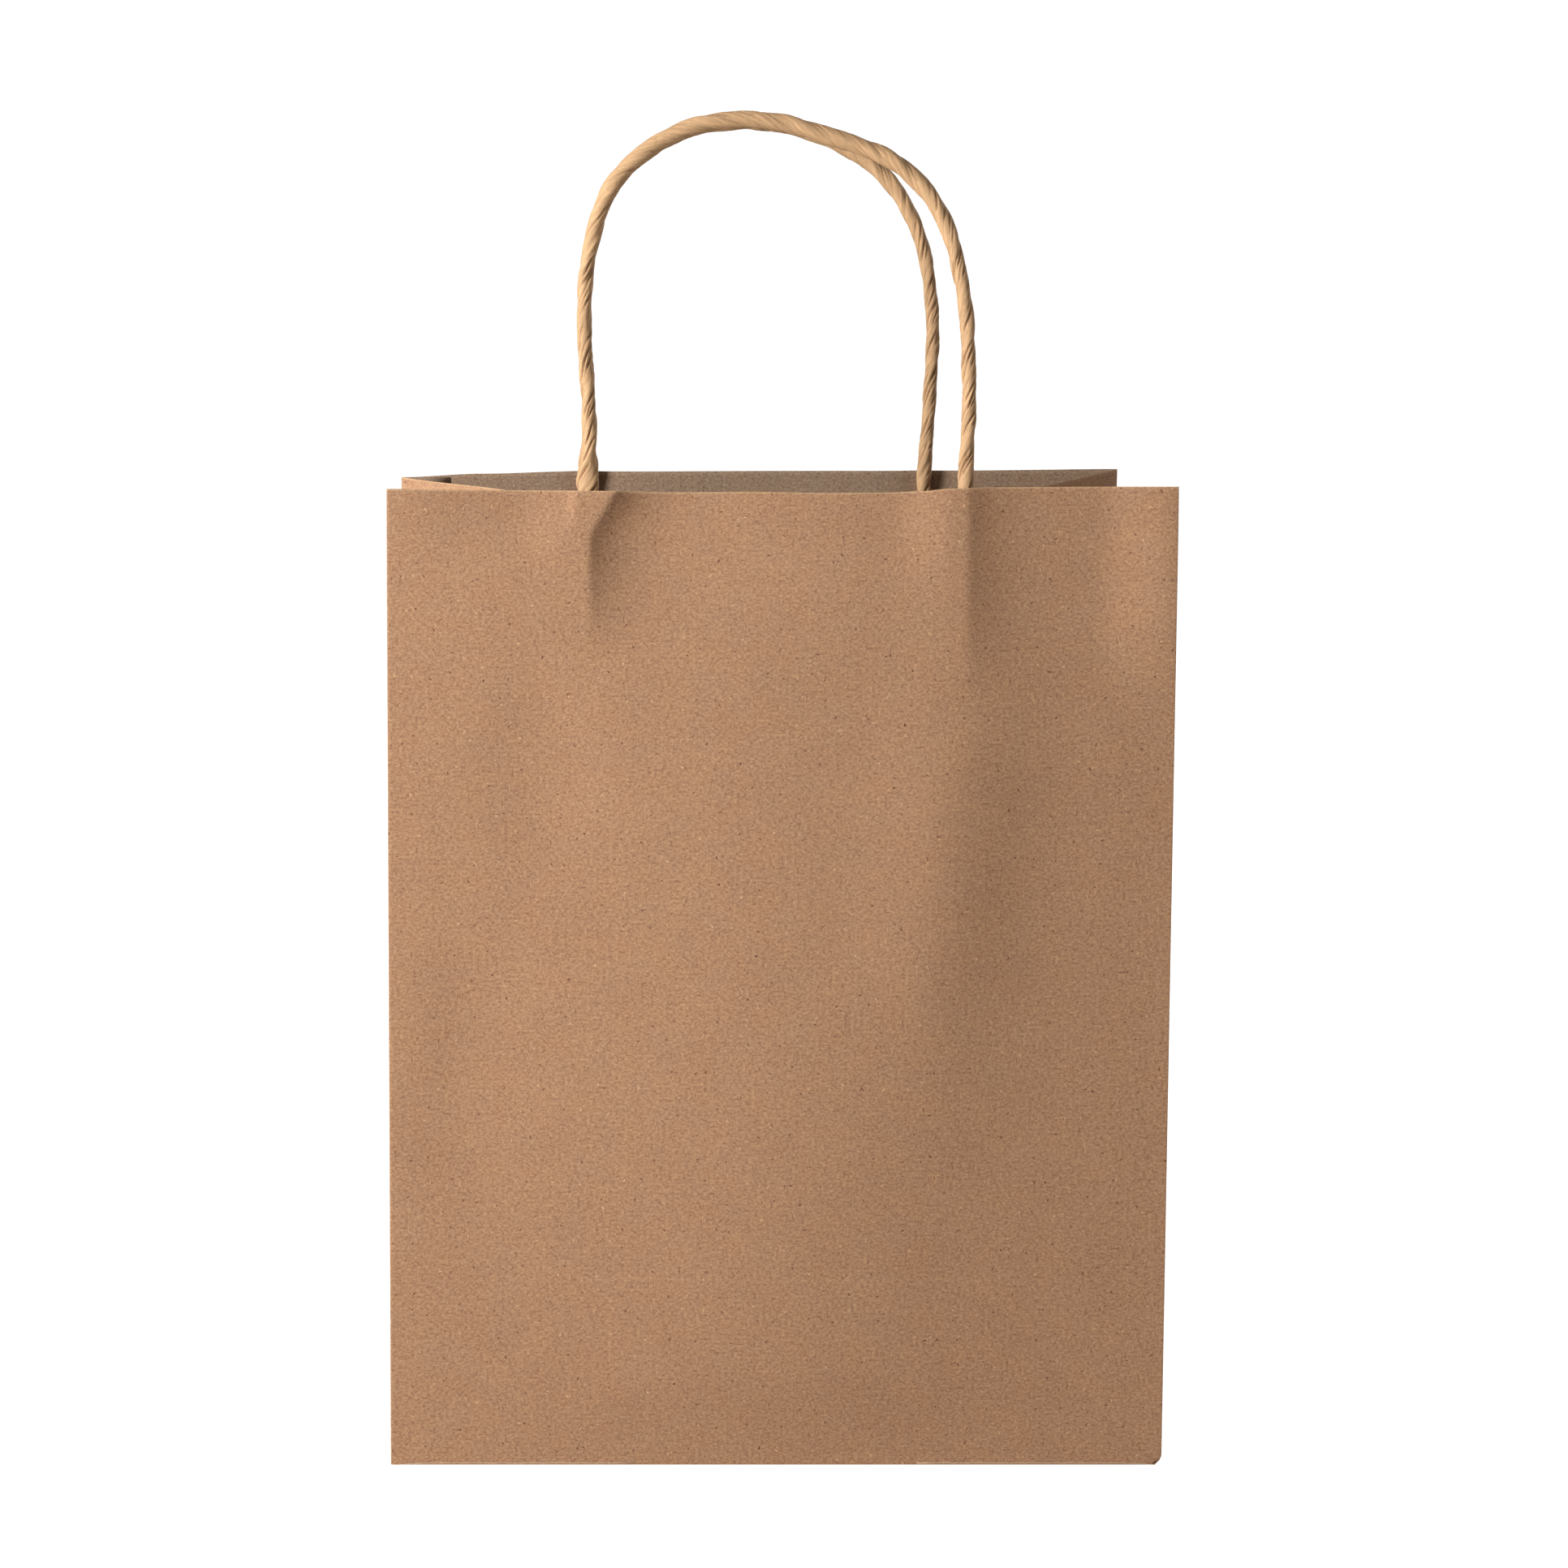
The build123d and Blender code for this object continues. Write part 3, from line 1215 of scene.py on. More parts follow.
class Nodes:
    """A short way to lay out the nodes of one tree."""

    def __init__(self, tree: bpy.types.NodeTree) -> None:
        """Take the tree that the nodes go into."""
        self.tree = tree

    def add(self, kind: str, **values: object) -> bpy.types.Node:
        """Add a node and set its own options.

        Args:
            kind: The node's type.
            values: The names and values of its options.

        Returns:
            The new node.
        """
        node = self.tree.nodes.new(kind)
        for name, value in values.items():
            setattr(node, name, value)
        return node

    def join(self, source: object, node: bpy.types.Node, socket: int | str) -> None:
        """Link a socket to an input, or set the input to a number.

        Args:
            source: The socket, or the number or vector.
            node: The node that takes it.
            socket: The input's place or name.
        """
        if isinstance(source, bpy.types.NodeSocket):
            self.tree.links.new(source, node.inputs[socket])
        else:
            node.inputs[socket].default_value = source

    def fill(self, node: bpy.types.Node, *values: object) -> bpy.types.Node:
        """Join values to a node's inputs in order.

        Args:
            node: The node.
            values: A socket or a number for each input.

        Returns:
            The same node.
        """
        for k, value in enumerate(values):
            self.join(value, node, k)
        return node

    def maths(self, operation: str, *values: object, clamp: bool = False) -> bpy.types.NodeSocket:
        """Add a Math node and give its output."""
        node = self.add("ShaderNodeMath", operation=operation, use_clamp=clamp)
        return self.fill(node, *values).outputs[0]

    def vectors(self, operation: str, *values: object) -> bpy.types.Node:
        """Add a Vector Math node."""
        return self.fill(self.add("ShaderNodeVectorMath", operation=operation), *values)

    def scaled(self, vector: object, factor: object) -> bpy.types.NodeSocket:
        """Multiply a vector by one number.

        Args:
            vector: The vector's socket.
            factor: The number, or its socket.

        Returns:
            The longer or shorter vector.
        """
        node = self.vectors("SCALE", vector)
        self.join(factor, node, "Scale")
        return node.outputs[0]

    def flat_place(self) -> bpy.types.NodeSocket:
        """Give the place on the flat paper, in millimetres."""
        return self.scaled(self.add("ShaderNodeUVMap", uv_map=FLAT_NAME).outputs[0], 1 / MM)

    def ramp(
        self, value: object, low: float, high: float, out_low: float = 0.0, out_high: float = 1.0
    ) -> bpy.types.NodeSocket:
        """Add a smooth Map Range node and give its output."""
        node = self.add("ShaderNodeMapRange", interpolation_type="SMOOTHSTEP")
        return self.fill(node, value, low, high, out_low, out_high).outputs[0]

    def mix(self, share: object, a: object, b: object, blend: str = "MIX") -> bpy.types.NodeSocket:
        """Mix two colours.

        Args:
            share: How much of the second colour shows.
            a: The first colour.
            b: The second colour.
            blend: The way in which they mix.

        Returns:
            The mixed colour.
        """
        node = self.add("ShaderNodeMix", data_type="RGBA", blend_type=blend)
        for socket, source in ((0, share), (6, a), (7, b)):
            self.join(source, node, socket)
        return node.outputs[2]

    def noise(
        self, vector: object, scale: float, detail: float = 2.0, roughness: float = 0.5
    ) -> bpy.types.NodeSocket:
        """Add a Noise Texture.

        Args:
            vector: The place that it reads.
            scale: How many lumps there are to a unit.
            detail: How many finer layers it has.
            roughness: How strong those are.

        Returns:
            The noise, from 0 to 1.
        """
        node = self.add("ShaderNodeTexNoise", noise_dimensions="3D")
        self.join(vector, node, "Vector")
        for title, value in (("Scale", scale), ("Detail", detail), ("Roughness", roughness)):
            node.inputs[title].default_value = value
        return node.outputs[0]

    def tinted(self, colour: object, values: tuple[object, object, object]) -> bpy.types.NodeSocket:
        """Multiply a colour's three channels.

        Args:
            colour: The colour.
            values: The factor for red, green and blue.

        Returns:
            The new colour.
        """
        channels = self.fill(self.add("ShaderNodeCombineColor"), *values)
        return self.mix(1.0, colour, channels.outputs[0], "MULTIPLY")


def new_material(name: str) -> tuple[bpy.types.Material, Nodes, bpy.types.Node]:
    """Make a material with nodes.

    Args:
        name: The material's name.

    Returns:
        The material, its node maker and its main shader.
    """
    material = bpy.data.materials.new(name)
    material.use_nodes = True
    return material, Nodes(material.node_tree), material.node_tree.nodes["Principled BSDF"]


def roughen(n: Nodes, shader: bpy.types.Node, height: bpy.types.NodeSocket, depth: float) -> None:
    """Give a surface fine relief.

    Args:
        n: The node maker.
        shader: The material's shader.
        height: The height all over the surface.
        depth: The relief's depth in metres.
    """
    bump = n.add("ShaderNodeBump")
    bump.inputs["Strength"].default_value = 0.5
    bump.inputs["Distance"].default_value = depth
    n.join(height, bump, "Height")
    n.join(bump.outputs[0], shader, "Normal")


def new_group(
    name: str, inputs: list[tuple[str, str, float]], output: str
) -> tuple[bpy.types.NodeTree, Nodes, bpy.types.Node, bpy.types.Node]:
    """Make an empty shader node group with one number as its output.

    Args:
        name: The group's name.
        inputs: Each input's name, kind and starting value.
        output: The output's name.

    Returns:
        The group, its node maker, its input node and its output node.
    """
    tree = bpy.data.node_groups.new(name, "ShaderNodeTree")
    for title, kind, value in inputs:
        socket = tree.interface.new_socket(title, in_out="INPUT", socket_type=kind)
        if kind == NUMBER:
            socket.default_value = value
    tree.interface.new_socket(output, in_out="OUTPUT", socket_type=NUMBER)
    nodes = Nodes(tree)
    return tree, nodes, nodes.add("NodeGroupInput"), nodes.add("NodeGroupOutput")


def fibre_group() -> bpy.types.NodeTree:
    """Make the group that scatters short curved fibres.

    Returns:
        A group that takes a place in millimetres, the size of a cell, a
        fibre's half length and half width, the share of cells that hold one
        and how far it bends, and gives a mask.
    """
    name = "paper fibres"
    if name in bpy.data.node_groups:
        return bpy.data.node_groups[name]
    inputs = [
        ("Place", VECTOR, 0.0),
        ("Cell", NUMBER, 2.0),
        ("Half Length", NUMBER, 0.5),
        ("Half Width", NUMBER, 0.06),
        ("Share", NUMBER, 0.6),
        ("Bend", NUMBER, 0.5),
    ]
    tree, n, given, result = new_group(name, inputs, "Mask")
    place, cell, length, width, share, bend = given.outputs[:6]
    size = n.fill(n.add("ShaderNodeCombineXYZ"), cell, cell, cell)
    scaled = n.vectors("DIVIDE", place, size.outputs[0]).outputs[0]
    cells = n.add("ShaderNodeTexVoronoi", voronoi_dimensions="2D", feature="F1")
    n.join(scaled, cells, "Vector")
    cells.inputs["Scale"].default_value = 1.0
    offset = n.vectors("SUBTRACT", scaled, cells.outputs["Position"]).outputs[0]
    local = n.vectors("MULTIPLY", offset, size.outputs[0]).outputs[0]
    random_three = n.fill(n.add("ShaderNodeSeparateColor"), cells.outputs["Color"])
    turn, chance, curl = random_three.outputs[:3]
    turned = n.add("ShaderNodeVectorRotate", rotation_type="Z_AXIS")
    n.join(local, turned, "Vector")
    n.join(n.maths("MULTIPLY", turn, math.tau), turned, "Angle")
    x, y, _ = n.fill(n.add("ShaderNodeSeparateXYZ"), turned.outputs[0]).outputs
    curve = n.maths("MULTIPLY", n.maths("SUBTRACT", curl, 0.5), bend)
    bowed = n.maths("ADD", y, n.maths("MULTIPLY", n.maths("MULTIPLY", x, x), curve))
    own_length = n.maths("MULTIPLY", length, n.maths("ADD", curl, 0.35))
    past = n.maths("MAXIMUM", n.maths("SUBTRACT", n.maths("ABSOLUTE", x), own_length), 0.0)
    squares = n.maths("ADD", n.maths("MULTIPLY", past, past), n.maths("MULTIPLY", bowed, bowed))
    away = n.maths("SQRT", squares)
    mask = n.ramp(away, n.maths("MULTIPLY", width, 1.6), n.maths("MULTIPLY", width, 0.4))
    n.join(n.maths("MULTIPLY", mask, n.maths("LESS_THAN", chance, share)), result, 0)
    return tree


def line_wear_group() -> bpy.types.NodeTree:
    """Make the group that finds how near a place is to a straight crease.

    Returns:
        A group that takes a place, one end of the crease and its run, in
        millimetres, and gives the crease's strength, 1 on the crease.
    """
    name = "crease line"
    if name in bpy.data.node_groups:
        return bpy.data.node_groups[name]
    inputs = [(title, VECTOR, 0.0) for title in ("Place", "Start", "Run")]
    tree, n, given, result = new_group(name, [*inputs, ("Width", NUMBER, 1.0)], "Strength")
    place, start, run, width = given.outputs[:4]
    offset = n.vectors("SUBTRACT", place, start).outputs[0]
    along = n.vectors("DOT_PRODUCT", offset, run).outputs["Value"]
    square = n.vectors("DOT_PRODUCT", run, run).outputs["Value"]
    share = n.maths("DIVIDE", along, square, clamp=True)
    gap = n.vectors("SUBTRACT", offset, n.scaled(run, share)).outputs[0]
    away = n.vectors("LENGTH", gap).outputs["Value"]
    n.join(n.ramp(n.maths("DIVIDE", away, width), 1.0, 0.0), result, 0)
    return tree


@dataclass(frozen=True)
class FibreKind:
    """One kind of fibre or fleck in the paper, in millimetres."""

    shift: float
    cell: float
    half_length: float
    half_width: float
    share: float
    bend: float
    strength: float

    def scatter(self, n: Nodes, place: bpy.types.NodeSocket) -> bpy.types.NodeSocket:
        """Scatter the fibres over the paper.

        Args:
            n: The node maker.
            place: The place in millimetres.

        Returns:
            The fibres' mask.
        """
        moved = n.vectors("ADD", place, (self.shift, self.shift * 0.7, 0.0)).outputs[0]
        sizes = (self.cell, self.half_length, self.half_width, self.share, self.bend)
        node = n.add("ShaderNodeGroup", node_tree=fibre_group())
        return n.fill(node, moved, *sizes).outputs[0]


LONG_DARK = FibreKind(11.0, 2.7, 0.95, 0.075, 0.6, 0.7, -0.30)
SHORT_DARK = FibreKind(37.0, 1.5, 0.55, 0.095, 0.75, 1.1, -0.21)
SHORT_LIGHT = FibreKind(71.0, 1.7, 0.6, 0.095, 0.75, 1.1, 0.20)
LONG_LIGHT = FibreKind(93.0, 4.4, 0.9, 0.06, 0.4, 0.7, 0.42)
DARK_SPECK = FibreKind(23.0, 6.5, 0.22, 0.16, 0.5, 0.2, -0.62)
PALE_SPECK = FibreKind(51.0, 9.0, 0.25, 0.12, 0.45, 0.2, 0.85)
FIBRES = (LONG_DARK, SHORT_DARK, SHORT_LIGHT, LONG_LIGHT, DARK_SPECK, PALE_SPECK)


@dataclass(frozen=True)
class KraftFinish:
    """Uncoated brown kraft paper with fibres, specks and worn creases."""

    name: str
    base: tuple[float, float, float] = (0.462, 0.262, 0.150)
    cloud: float = 0.025
    mottle: float = 0.055
    grain: float = 0.42
    powers: tuple[float, float, float] = (0.86, 1.10, 1.04)
    crease_wear: float = 0.14
    mark_wear: float = 0.035
    rim_wear: float = 0.5
    darkest: float = 0.05
    fibre_depth: float = 0.00006
    roughness: tuple[float, float] = (0.81, 0.93)
    specular: float = 0.25
    creases: tuple[tuple[float, float, float, float], ...] = ()
    marks: tuple[tuple[float, float, float, float], ...] = ()
    rims: tuple[tuple[float, float, float, float], ...] = ()

    def lines(
        self, n: Nodes, place: bpy.types.NodeSocket, lines: tuple, width: float
    ) -> bpy.types.NodeSocket | float:
        """Join the strengths of several creases.

        Args:
            n: The node maker.
            place: The place in millimetres.
            lines: Each crease's two ends in millimetres.
            width: Half the width of a crease's wear.

        Returns:
            The socket with the strongest, or 0 where there are none.
        """
        total: bpy.types.NodeSocket | float = 0.0
        for u0, v0, u1, v1 in lines:
            node = n.add("ShaderNodeGroup", node_tree=line_wear_group())
            n.fill(node, place, (u0, v0, 0), (u1 - u0, v1 - v0, 0), width)
            total = n.maths("MAXIMUM", total, node.outputs[0])
        return total

    def build(self) -> bpy.types.Material:
        """Make the material.

        Returns:
            The finished material.
        """
        material, n, shader = new_material(self.name)
        place = n.flat_place()
        masks = {kind: kind.scatter(n, place) for kind in FIBRES}
        cloud = n.noise(place, 0.06, 3.0, 0.55)
        tone = n.ramp(cloud, 0.3, 0.7, 1 - self.cloud, 1 + self.cloud)
        mottle = n.noise(place, 0.55, 4.0, 0.62)
        mottle = n.ramp(mottle, 0.3, 0.7, 1 - self.mottle, 1 + self.mottle)
        grain = n.noise(n.vectors("MULTIPLY", place, (0.75, 1.0, 1.0)).outputs[0], 1.5, 3.0, 0.62)
        grit = n.ramp(grain, 0.32, 0.68, 1 - self.grain / 2, 1 + self.grain / 2)
        value = n.maths("MULTIPLY", n.maths("MULTIPLY", tone, mottle), grit)
        worn = [
            (self.lines(n, place, self.creases, 0.7), self.crease_wear),
            (self.lines(n, place, self.marks, 1.1), self.mark_wear),
            (self.lines(n, place, self.rims, 0.75), self.rim_wear),
        ]
        for mask, strength in [(masks[kind], kind.strength) for kind in FIBRES] + worn:
            value = n.maths("ADD", value, n.maths("MULTIPLY", mask, strength))
        value = n.maths("MAXIMUM", value, self.darkest)
        warm = n.mix(
            n.ramp(n.noise(place, 0.11, 2.0), 0.35, 0.65),
            (*[c * k for c, k in zip(self.base, (1.013, 1.0, 0.985))], 1),
            (*[c * k for c, k in zip(self.base, (0.99, 1.0, 1.018))], 1),
        )
        channels = tuple(n.maths("POWER", value, power) for power in self.powers)
        n.join(n.tinted(warm, channels), shader, "Base Color")
        height = n.maths("ADD", n.maths("MULTIPLY", grain, 0.5), masks[SHORT_LIGHT])
        height = n.maths("ADD", height, n.maths("MULTIPLY", masks[LONG_DARK], 0.7))
        roughen(n, shader, height, self.fibre_depth)
        n.join(n.ramp(grain, 0.2, 0.8, *self.roughness), shader, "Roughness")
        shader.inputs["Specular IOR Level"].default_value = self.specular
        return material


@dataclass(frozen=True)
class CutEdgeFinish:
    """The pale, slightly frayed cut edge of kraft paper."""

    name: str = "kraft cut edge"
    base: tuple[float, float, float] = (0.86, 0.64, 0.44)

    def build(self) -> bpy.types.Material:
        """Make the material.

        Returns:
            The finished material.
        """
        material, n, shader = new_material(self.name)
        where = n.add("ShaderNodeTexCoord").outputs["Object"]
        fray = n.ramp(n.noise(where, 900.0, 4.0, 0.6), 0.3, 0.7)
        dark = (*[c * 0.78 for c in self.base], 1)
        n.join(n.mix(fray, dark, (*self.base, 1)), shader, "Base Color")
        shader.inputs["Roughness"].default_value = 0.92
        shader.inputs["Specular IOR Level"].default_value = 0.2
        return material


@dataclass(frozen=True)
class CordFinish:
    """Light kraft paper twisted tight, with painted shade darkening its creases."""

    name: str = "twisted kraft cord"
    base: tuple[float, float, float] = (0.71, 0.445, 0.238)
    # deep is the colour of the painted shade in the cord's creases.
    deep: tuple[float, float, float] = (0.29, 0.135, 0.055)
    pitch: float = 27.0
    radius: float = 2.0
    stretch: float = 0.09
    relief: float = 0.00015

    def strip_place(self, n: Nodes) -> bpy.types.NodeSocket:
        """Give the place on the twisted strip, long along its creases.

        Args:
            n: The node maker.

        Returns:
            The place, which has no seam round the cord.
        """
        flat = n.fill(n.add("ShaderNodeSeparateXYZ"), n.flat_place())
        along, turn, _ = flat.outputs
        girth = math.tau * self.radius
        twisted = n.maths("ADD", turn, n.maths("MULTIPLY", along, girth / self.pitch))
        angle = n.maths("MULTIPLY", twisted, math.tau / girth)
        x = n.maths("MULTIPLY", n.maths("COSINE", angle), self.radius)
        y = n.maths("MULTIPLY", n.maths("SINE", angle), self.radius)
        z = n.maths("MULTIPLY", along, self.stretch)
        return n.fill(n.add("ShaderNodeCombineXYZ"), x, y, z).outputs[0]

    def build(self) -> bpy.types.Material:
        """Make the material.

        Returns:
            The finished material.
        """
        material, n, shader = new_material(self.name)
        strip = self.strip_place(n)
        wrinkle = n.noise(strip, 1.5)
        streak = n.noise(strip, 3.4)
        # Painted shade: the fine crease lines are darkened in colour, and the same mask also sinks
        # them in the bump.
        fine_crease = n.ramp(n.maths("ABSOLUTE", n.maths("SUBTRACT", streak, 0.5)), 0.035, 0.0)
        crumpled = n.ramp(n.noise(strip, 0.55), 0.40, 0.58)
        fine_crease_shade = n.maths("MULTIPLY", fine_crease, n.maths("MULTIPLY_ADD", crumpled, 0.22, 0.10))
        tone = n.ramp(wrinkle, 0.3, 0.7, 0.88, 1.10)
        tone = n.maths("MULTIPLY", tone, n.ramp(streak, 0.3, 0.7, 0.90, 1.08))
        tone = n.maths("SUBTRACT", tone, fine_crease_shade)
        paper = n.tinted((*self.base, 1), (tone, tone, tone))
        # Painted shade: each crease is darkened towards deep by how deep it is.
        crease = n.add("ShaderNodeAttribute", attribute_name="crease").outputs["Fac"]
        dark = n.maths("MULTIPLY", n.ramp(crease, 0.12, 0.75), 0.7)
        n.join(n.mix(dark, paper, (*self.deep, 1)), shader, "Base Color")
        height = n.maths("SUBTRACT", wrinkle, n.maths("MULTIPLY", fine_crease_shade, 1.2))
        roughen(n, shader, height, self.relief)
        n.join(n.ramp(wrinkle, 0.2, 0.8, 0.62, 0.78), shader, "Roughness")
        shader.inputs["Specular IOR Level"].default_value = 0.35
        return material


# -------------------------------------------------------------- the studio


@dataclass(frozen=True)
class SoftLight:
    """A square soft light that points at the bag."""

    name: str
    place: tuple[float, float, float]
    size: float
    power: float
    colour: tuple[float, float, float] = (1.0, 1.0, 1.0)
    aim: tuple[float, float, float] = (0.0, 0.0, 0.19)

    def build(self) -> None:
        """Hang the light."""
        light = bpy.data.lights.new(self.name, "AREA")
        light.shape = "SQUARE"
        light.size = self.size
        light.energy = self.power
        light.color = self.colour
        holder = bpy.data.objects.new(self.name, light)
        holder.location = self.place
        towards = Vector(self.aim) - Vector(self.place)
        holder.rotation_euler = towards.to_track_quat("-Z", "Y").to_euler()
        bpy.context.scene.collection.objects.link(holder)


@dataclass
class Studio:
    """A pale floor, soft lights and the camera."""

    sizes: BagSizes
    distance: float = 0.770
    left: float = 0.066
    above_rim: float = 0.0512
    pitch: float = math.radians(7.3)
    lens: float = 63.8
    shift_x: float = 0.1526
    shift_y: float = -0.08
    floor_size: float = 8.0
    room: float = 0.2
    room_colour: tuple[float, float, float] = (1.0, 0.93, 0.87)
    backdrop: float = 1.05
    floor_tone: tuple[float, float, float] = (0.60, 0.575, 0.55)
    floor_glow: float = 0.92
    lights: tuple[SoftLight, ...] = (
        SoftLight("key", (-0.95, -0.58, 0.58), 0.35, 16.2, (1.0, 0.995, 0.985)),
        SoftLight("back fill", (1.1, 1.0, 0.8), 0.8, 9.0),
    )

    def camera(self) -> None:
        """Set up the camera in front of the bag, a little to its left."""
        data = bpy.data.cameras.new("camera")
        data.sensor_width = 36.0
        data.lens = self.lens
        data.shift_x = self.shift_x
        data.shift_y = self.shift_y
        data.clip_start = 0.05
        holder = bpy.data.objects.new("camera", data)
        s = self.sizes
        holder.location = (-self.left, -s.half_mouth - self.distance, s.rim_height + self.above_rim)
        holder.rotation_euler = Euler((math.pi / 2 - self.pitch, 0, 0))
        bpy.context.scene.collection.objects.link(holder)
        bpy.context.scene.camera = holder

    def floor(self) -> None:
        """Lay the pale floor."""
        mesh = bmesh.new()
        bmesh.ops.create_grid(mesh, x_segments=1, y_segments=1, size=self.floor_size / 2)
        material, n, shader = new_material("pale floor")
        shader.inputs["Base Color"].default_value = (*self.floor_tone, 1)
        shader.inputs["Roughness"].default_value = 0.9
        shader.inputs["Emission Color"].default_value = (1.0, 1.0, 1.0, 1)
        seen = n.add("ShaderNodeLightPath").outputs["Is Camera Ray"]
        n.join(n.maths("MULTIPLY", seen, self.floor_glow), shader, "Emission Strength")
        new_piece("floor", mesh, material)

    def sky(self) -> None:
        """Fill the room with even light, in front of a white backdrop."""
        world = bpy.data.worlds.new("studio")
        world.use_nodes = True
        n = Nodes(world.node_tree)
        background = world.node_tree.nodes["Background"]
        seen = n.add("ShaderNodeLightPath").outputs["Is Camera Ray"]
        n.join(n.mix(seen, (*self.room_colour, 1), (1.0, 1.0, 1.0, 1)), background, "Color")
        strength = n.maths("MULTIPLY_ADD", seen, self.backdrop - self.room, self.room)
        n.join(strength, background, "Strength")
        bpy.context.scene.world = world
        bpy.context.scene.view_settings.view_transform = "Standard"

    def build(self) -> None:
        """Set up the whole studio."""
        self.camera()
        self.floor()
        self.sky()
        for light in self.lights:
            light.build()


# ----------------------------------------------------------------- the bag


FRONT_ROUTE = (
    (-0.0540, 0.0), (-0.0534, 0.0190), (-0.0556, 0.0420), (-0.0540, 0.0650),
    (-0.0470, 0.0840), (-0.0295, 0.0965), (-0.0090, 0.1000), (0.0135, 0.0945),
    (0.0340, 0.0865), (0.0455, 0.0710), (0.0506, 0.0495), (0.0520, 0.0250),
    (0.0510, 0.0),
)
BACK_ROUTE = (
    (-0.0528, 0.0), (-0.0524, 0.0210), (-0.0542, 0.0435), (-0.0526, 0.0670),
    (-0.0465, 0.0845), (-0.0300, 0.0990), (-0.0060, 0.1040), (0.0180, 0.0990),
    (0.0370, 0.0875), (0.0476, 0.0700), (0.0520, 0.0470), (0.0516, 0.0230),
    (0.0502, 0.0),
)


# A darker, greyer copy of the kraft colour: painted shade for the bag's inner side.
INNER_PAINTED_SHADE_COLOUR = (0.36, 0.245, 0.165)
# The patches inside the bag take the same darker, greyer kraft colour as painted shade.
PATCH_PAINTED_SHADE_COLOUR = (0.37, 0.25, 0.165)


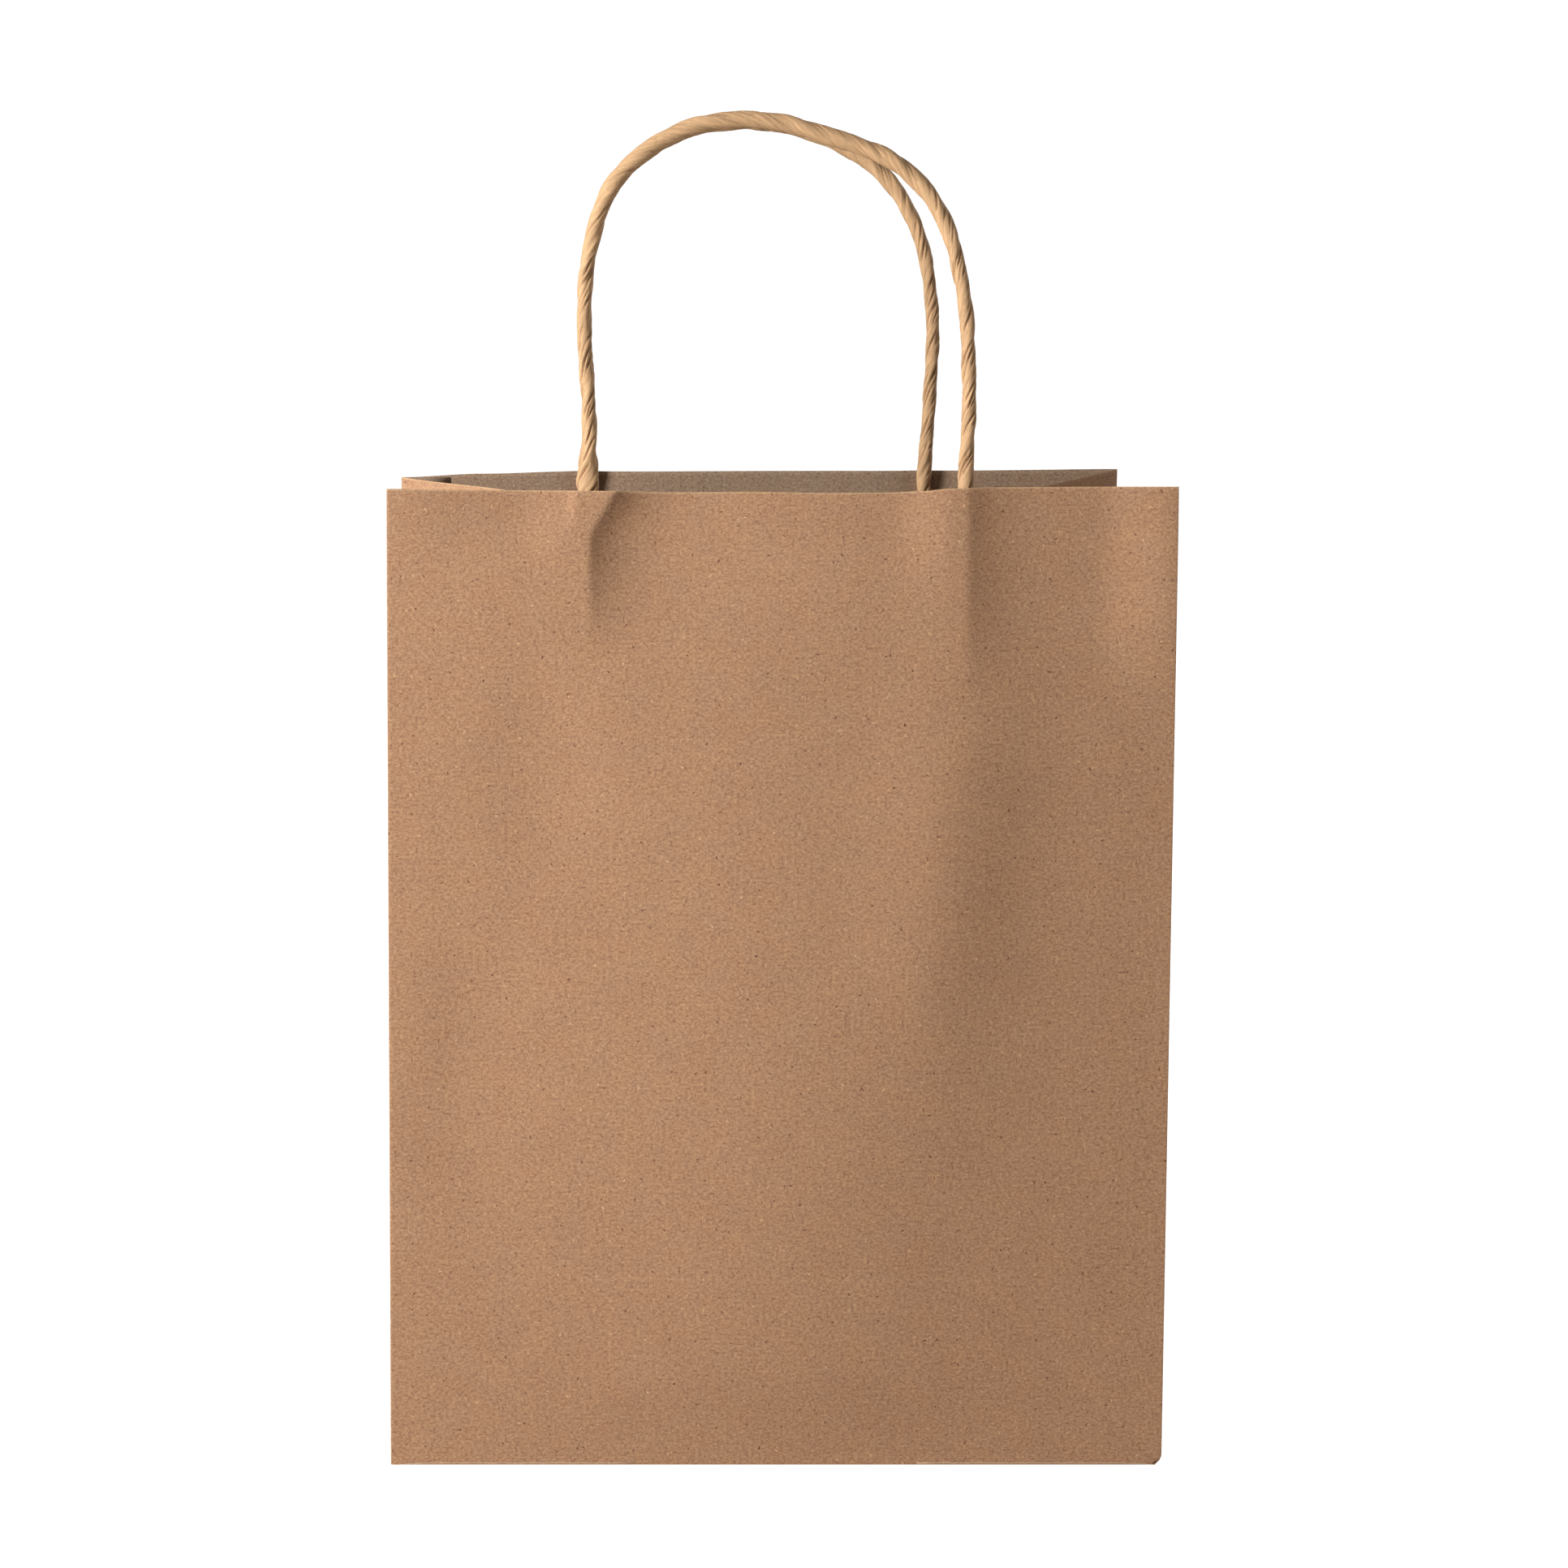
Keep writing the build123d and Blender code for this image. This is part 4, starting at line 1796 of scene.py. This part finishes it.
@dataclass
class GiftBag:
    """The whole bag: its sheet, its patches and its cords."""

    sizes: BagSizes = field(default_factory=BagSizes)

    def reliefs(self) -> dict[Facing, PanelRelief]:
        """Describe the dents of both panels.

        Returns:
            Each panel's dents.
        """
        front_ridges = (
            CordRidge(
                place=-0.0535,
                crest_shift=0.0075,
                near_depth=0.0018,
                near_width=0.018,
                near_reach=0.034,
                near_length=0.018,
                far_depth=0.0045,
                far_width=0.0195,
                full_length=0.016,
                whole_length=0.052,
            ),
            CordRidge(
                place=-0.0535,
                near_depth=0.0009,
                near_width=0.0036,
                near_length=0.009,
                far_depth=0.0,
            ),
            CordRidge(
                place=0.0508,
                near_offset=0.0030,
                near_width=0.017,
                near_reach=0.060,
                near_depth=0.0021,
                near_length=0.022,
                far_depth=0.0036,
                far_width=0.021,
                far_soft=0.0015,
                far_hold=0.8,
                full_length=0.024,
                whole_length=0.070,
            ),
        )
        front_waves = (
            SoftWave(0.008, 0.165, 0.055, 0.140, 0.0046),
            SoftWave(0.046, 0.104, 0.020, 0.060, 0.0029, 0.1),
            SoftWave(-0.066, 0.080, 0.016, 0.026, -0.0011),
            SoftWave(-0.088, 0.165, 0.022, 0.045, -0.0010),
        )
        back_ridges = (
            CordRidge(place=-0.0528, far_depth=0.0014, far_width=0.018, near_depth=0.0005),
            CordRidge(place=0.0508, far_depth=0.0014, far_width=0.018, near_depth=0.0006),
        )
        back_waves = (
            SoftWave(0.020, 0.120, 0.060, 0.070, 0.0022),
            SoftWave(-0.050, 0.170, 0.040, 0.050, -0.0012),
        )
        return {
            Facing.FRONT: PanelRelief(self.sizes, front_ridges, front_waves),
            Facing.BACK: PanelRelief(self.sizes, back_ridges, back_waves, seed=4.0),
        }

    def sheet_nodes(self) -> list[str]:
        """List the nodes that the folded sheet stands for.

        Returns:
            Their names.
        """
        names = ["front_panel", "back_panel", "seam_flap"]
        for side in ("left", "right"):
            for part in ("foot", "front_outer", "front_inner", "back_outer", "back_inner"):
                names.append(f"{side}_gusset_{part}")
        names += [f"{which}_base_flap" for which in ("front", "back", "left", "right")]
        return names

    def blank_size(self) -> tuple[float, float]:
        """Give the width and height of the blank that the sheet is cut from."""
        s = self.sizes
        return 2 * (s.width + s.base_depth) + s.seam_width, s.panel_height + s.side_flap_reach

    def crease_lines(self) -> tuple[tuple[float, float, float, float], ...]:
        """List the sheet's creases on the blank.

        Returns:
            Each crease's two ends, in millimetres.
        """
        s = self.sizes
        corner, half, top = s.half_width / MM, s.half_base / MM, s.panel_height / MM
        far = corner + 2 * half
        lines = [(u, 0, u, top) for u in (-far, -corner, corner, far, far + 2 * corner)]
        lines += [(side * (corner + half), half, side * (corner + half), top) for side in (-1, 1)]
        lines += [(-far, 0, far + 2 * corner, 0)]
        for side in (-1, 1):
            for start in (corner, far):
                lines.append((side * start, 0, side * (corner + half), half))
        return tuple(lines)

    def mark_lines(self) -> tuple[tuple[float, float, float, float], ...]:
        """List the old fold lines of the flat-packed bag.

        Returns:
            Each line's two ends, in millimetres.
        """
        s = self.sizes
        corner, half = s.half_width / MM, s.half_base / MM
        return (
            (half - corner, half, corner - half, half),
            (corner, 0, corner - half, half),
            (-corner, 0, half - corner, half),
        )

    def build(self) -> None:
        """Build every piece in order and report it."""
        s = self.sizes
        end, top = (s.half_width + s.base_depth + s.width) / MM, s.panel_height / MM
        rims = ((end - self.blank_size()[0] / MM, top, end, top),)
        creases, marks = self.crease_lines(), self.mark_lines()
        kraft = KraftFinish("kraft sheet", creases=creases, marks=marks, rims=rims).build()
        # The inner side takes the darker, greyer kraft colour, which paints the shade inside the
        # bag.
        inner = KraftFinish("kraft inner side painted shade", INNER_PAINTED_SHADE_COLOUR, creases=creases).build()
        # The patches take the painted-shade kraft colour, darker than the sheet's outer side.
        patch = KraftFinish("kraft patch painted shade", PATCH_PAINTED_SHADE_COLOUR).build()
        edge = CutEdgeFinish().build()
        cord = CordFinish().build()
        reliefs = self.reliefs()
        sheet = FoldedSheet(s, reliefs).build(kraft, edge, inner)
        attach(sheet, "bag")
        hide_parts(*self.sheet_nodes())
        LOG.info("%s: %d faces", sheet.name, len(sheet.data.polygons))
        for facing, route, seed in ((Facing.FRONT, FRONT_ROUTE, 3), (Facing.BACK, BACK_ROUTE, 8)):
            legs = (route[0][0], route[-1][0])
            for ply in HandlePatch(s, facing, reliefs[facing], legs).build(patch, edge):
                LOG.info("%s rides on the bag", ply.name)
            TwistedCord(s, facing, route, seed).build(cord)


def main() -> None:
    """Build the studio and the bag."""
    logging.basicConfig(level=logging.INFO, format="%(name)s %(message)s")
    bag = GiftBag()
    Studio(bag.sizes).build()
    bag.build()


if __name__ == "__main__":
    main()
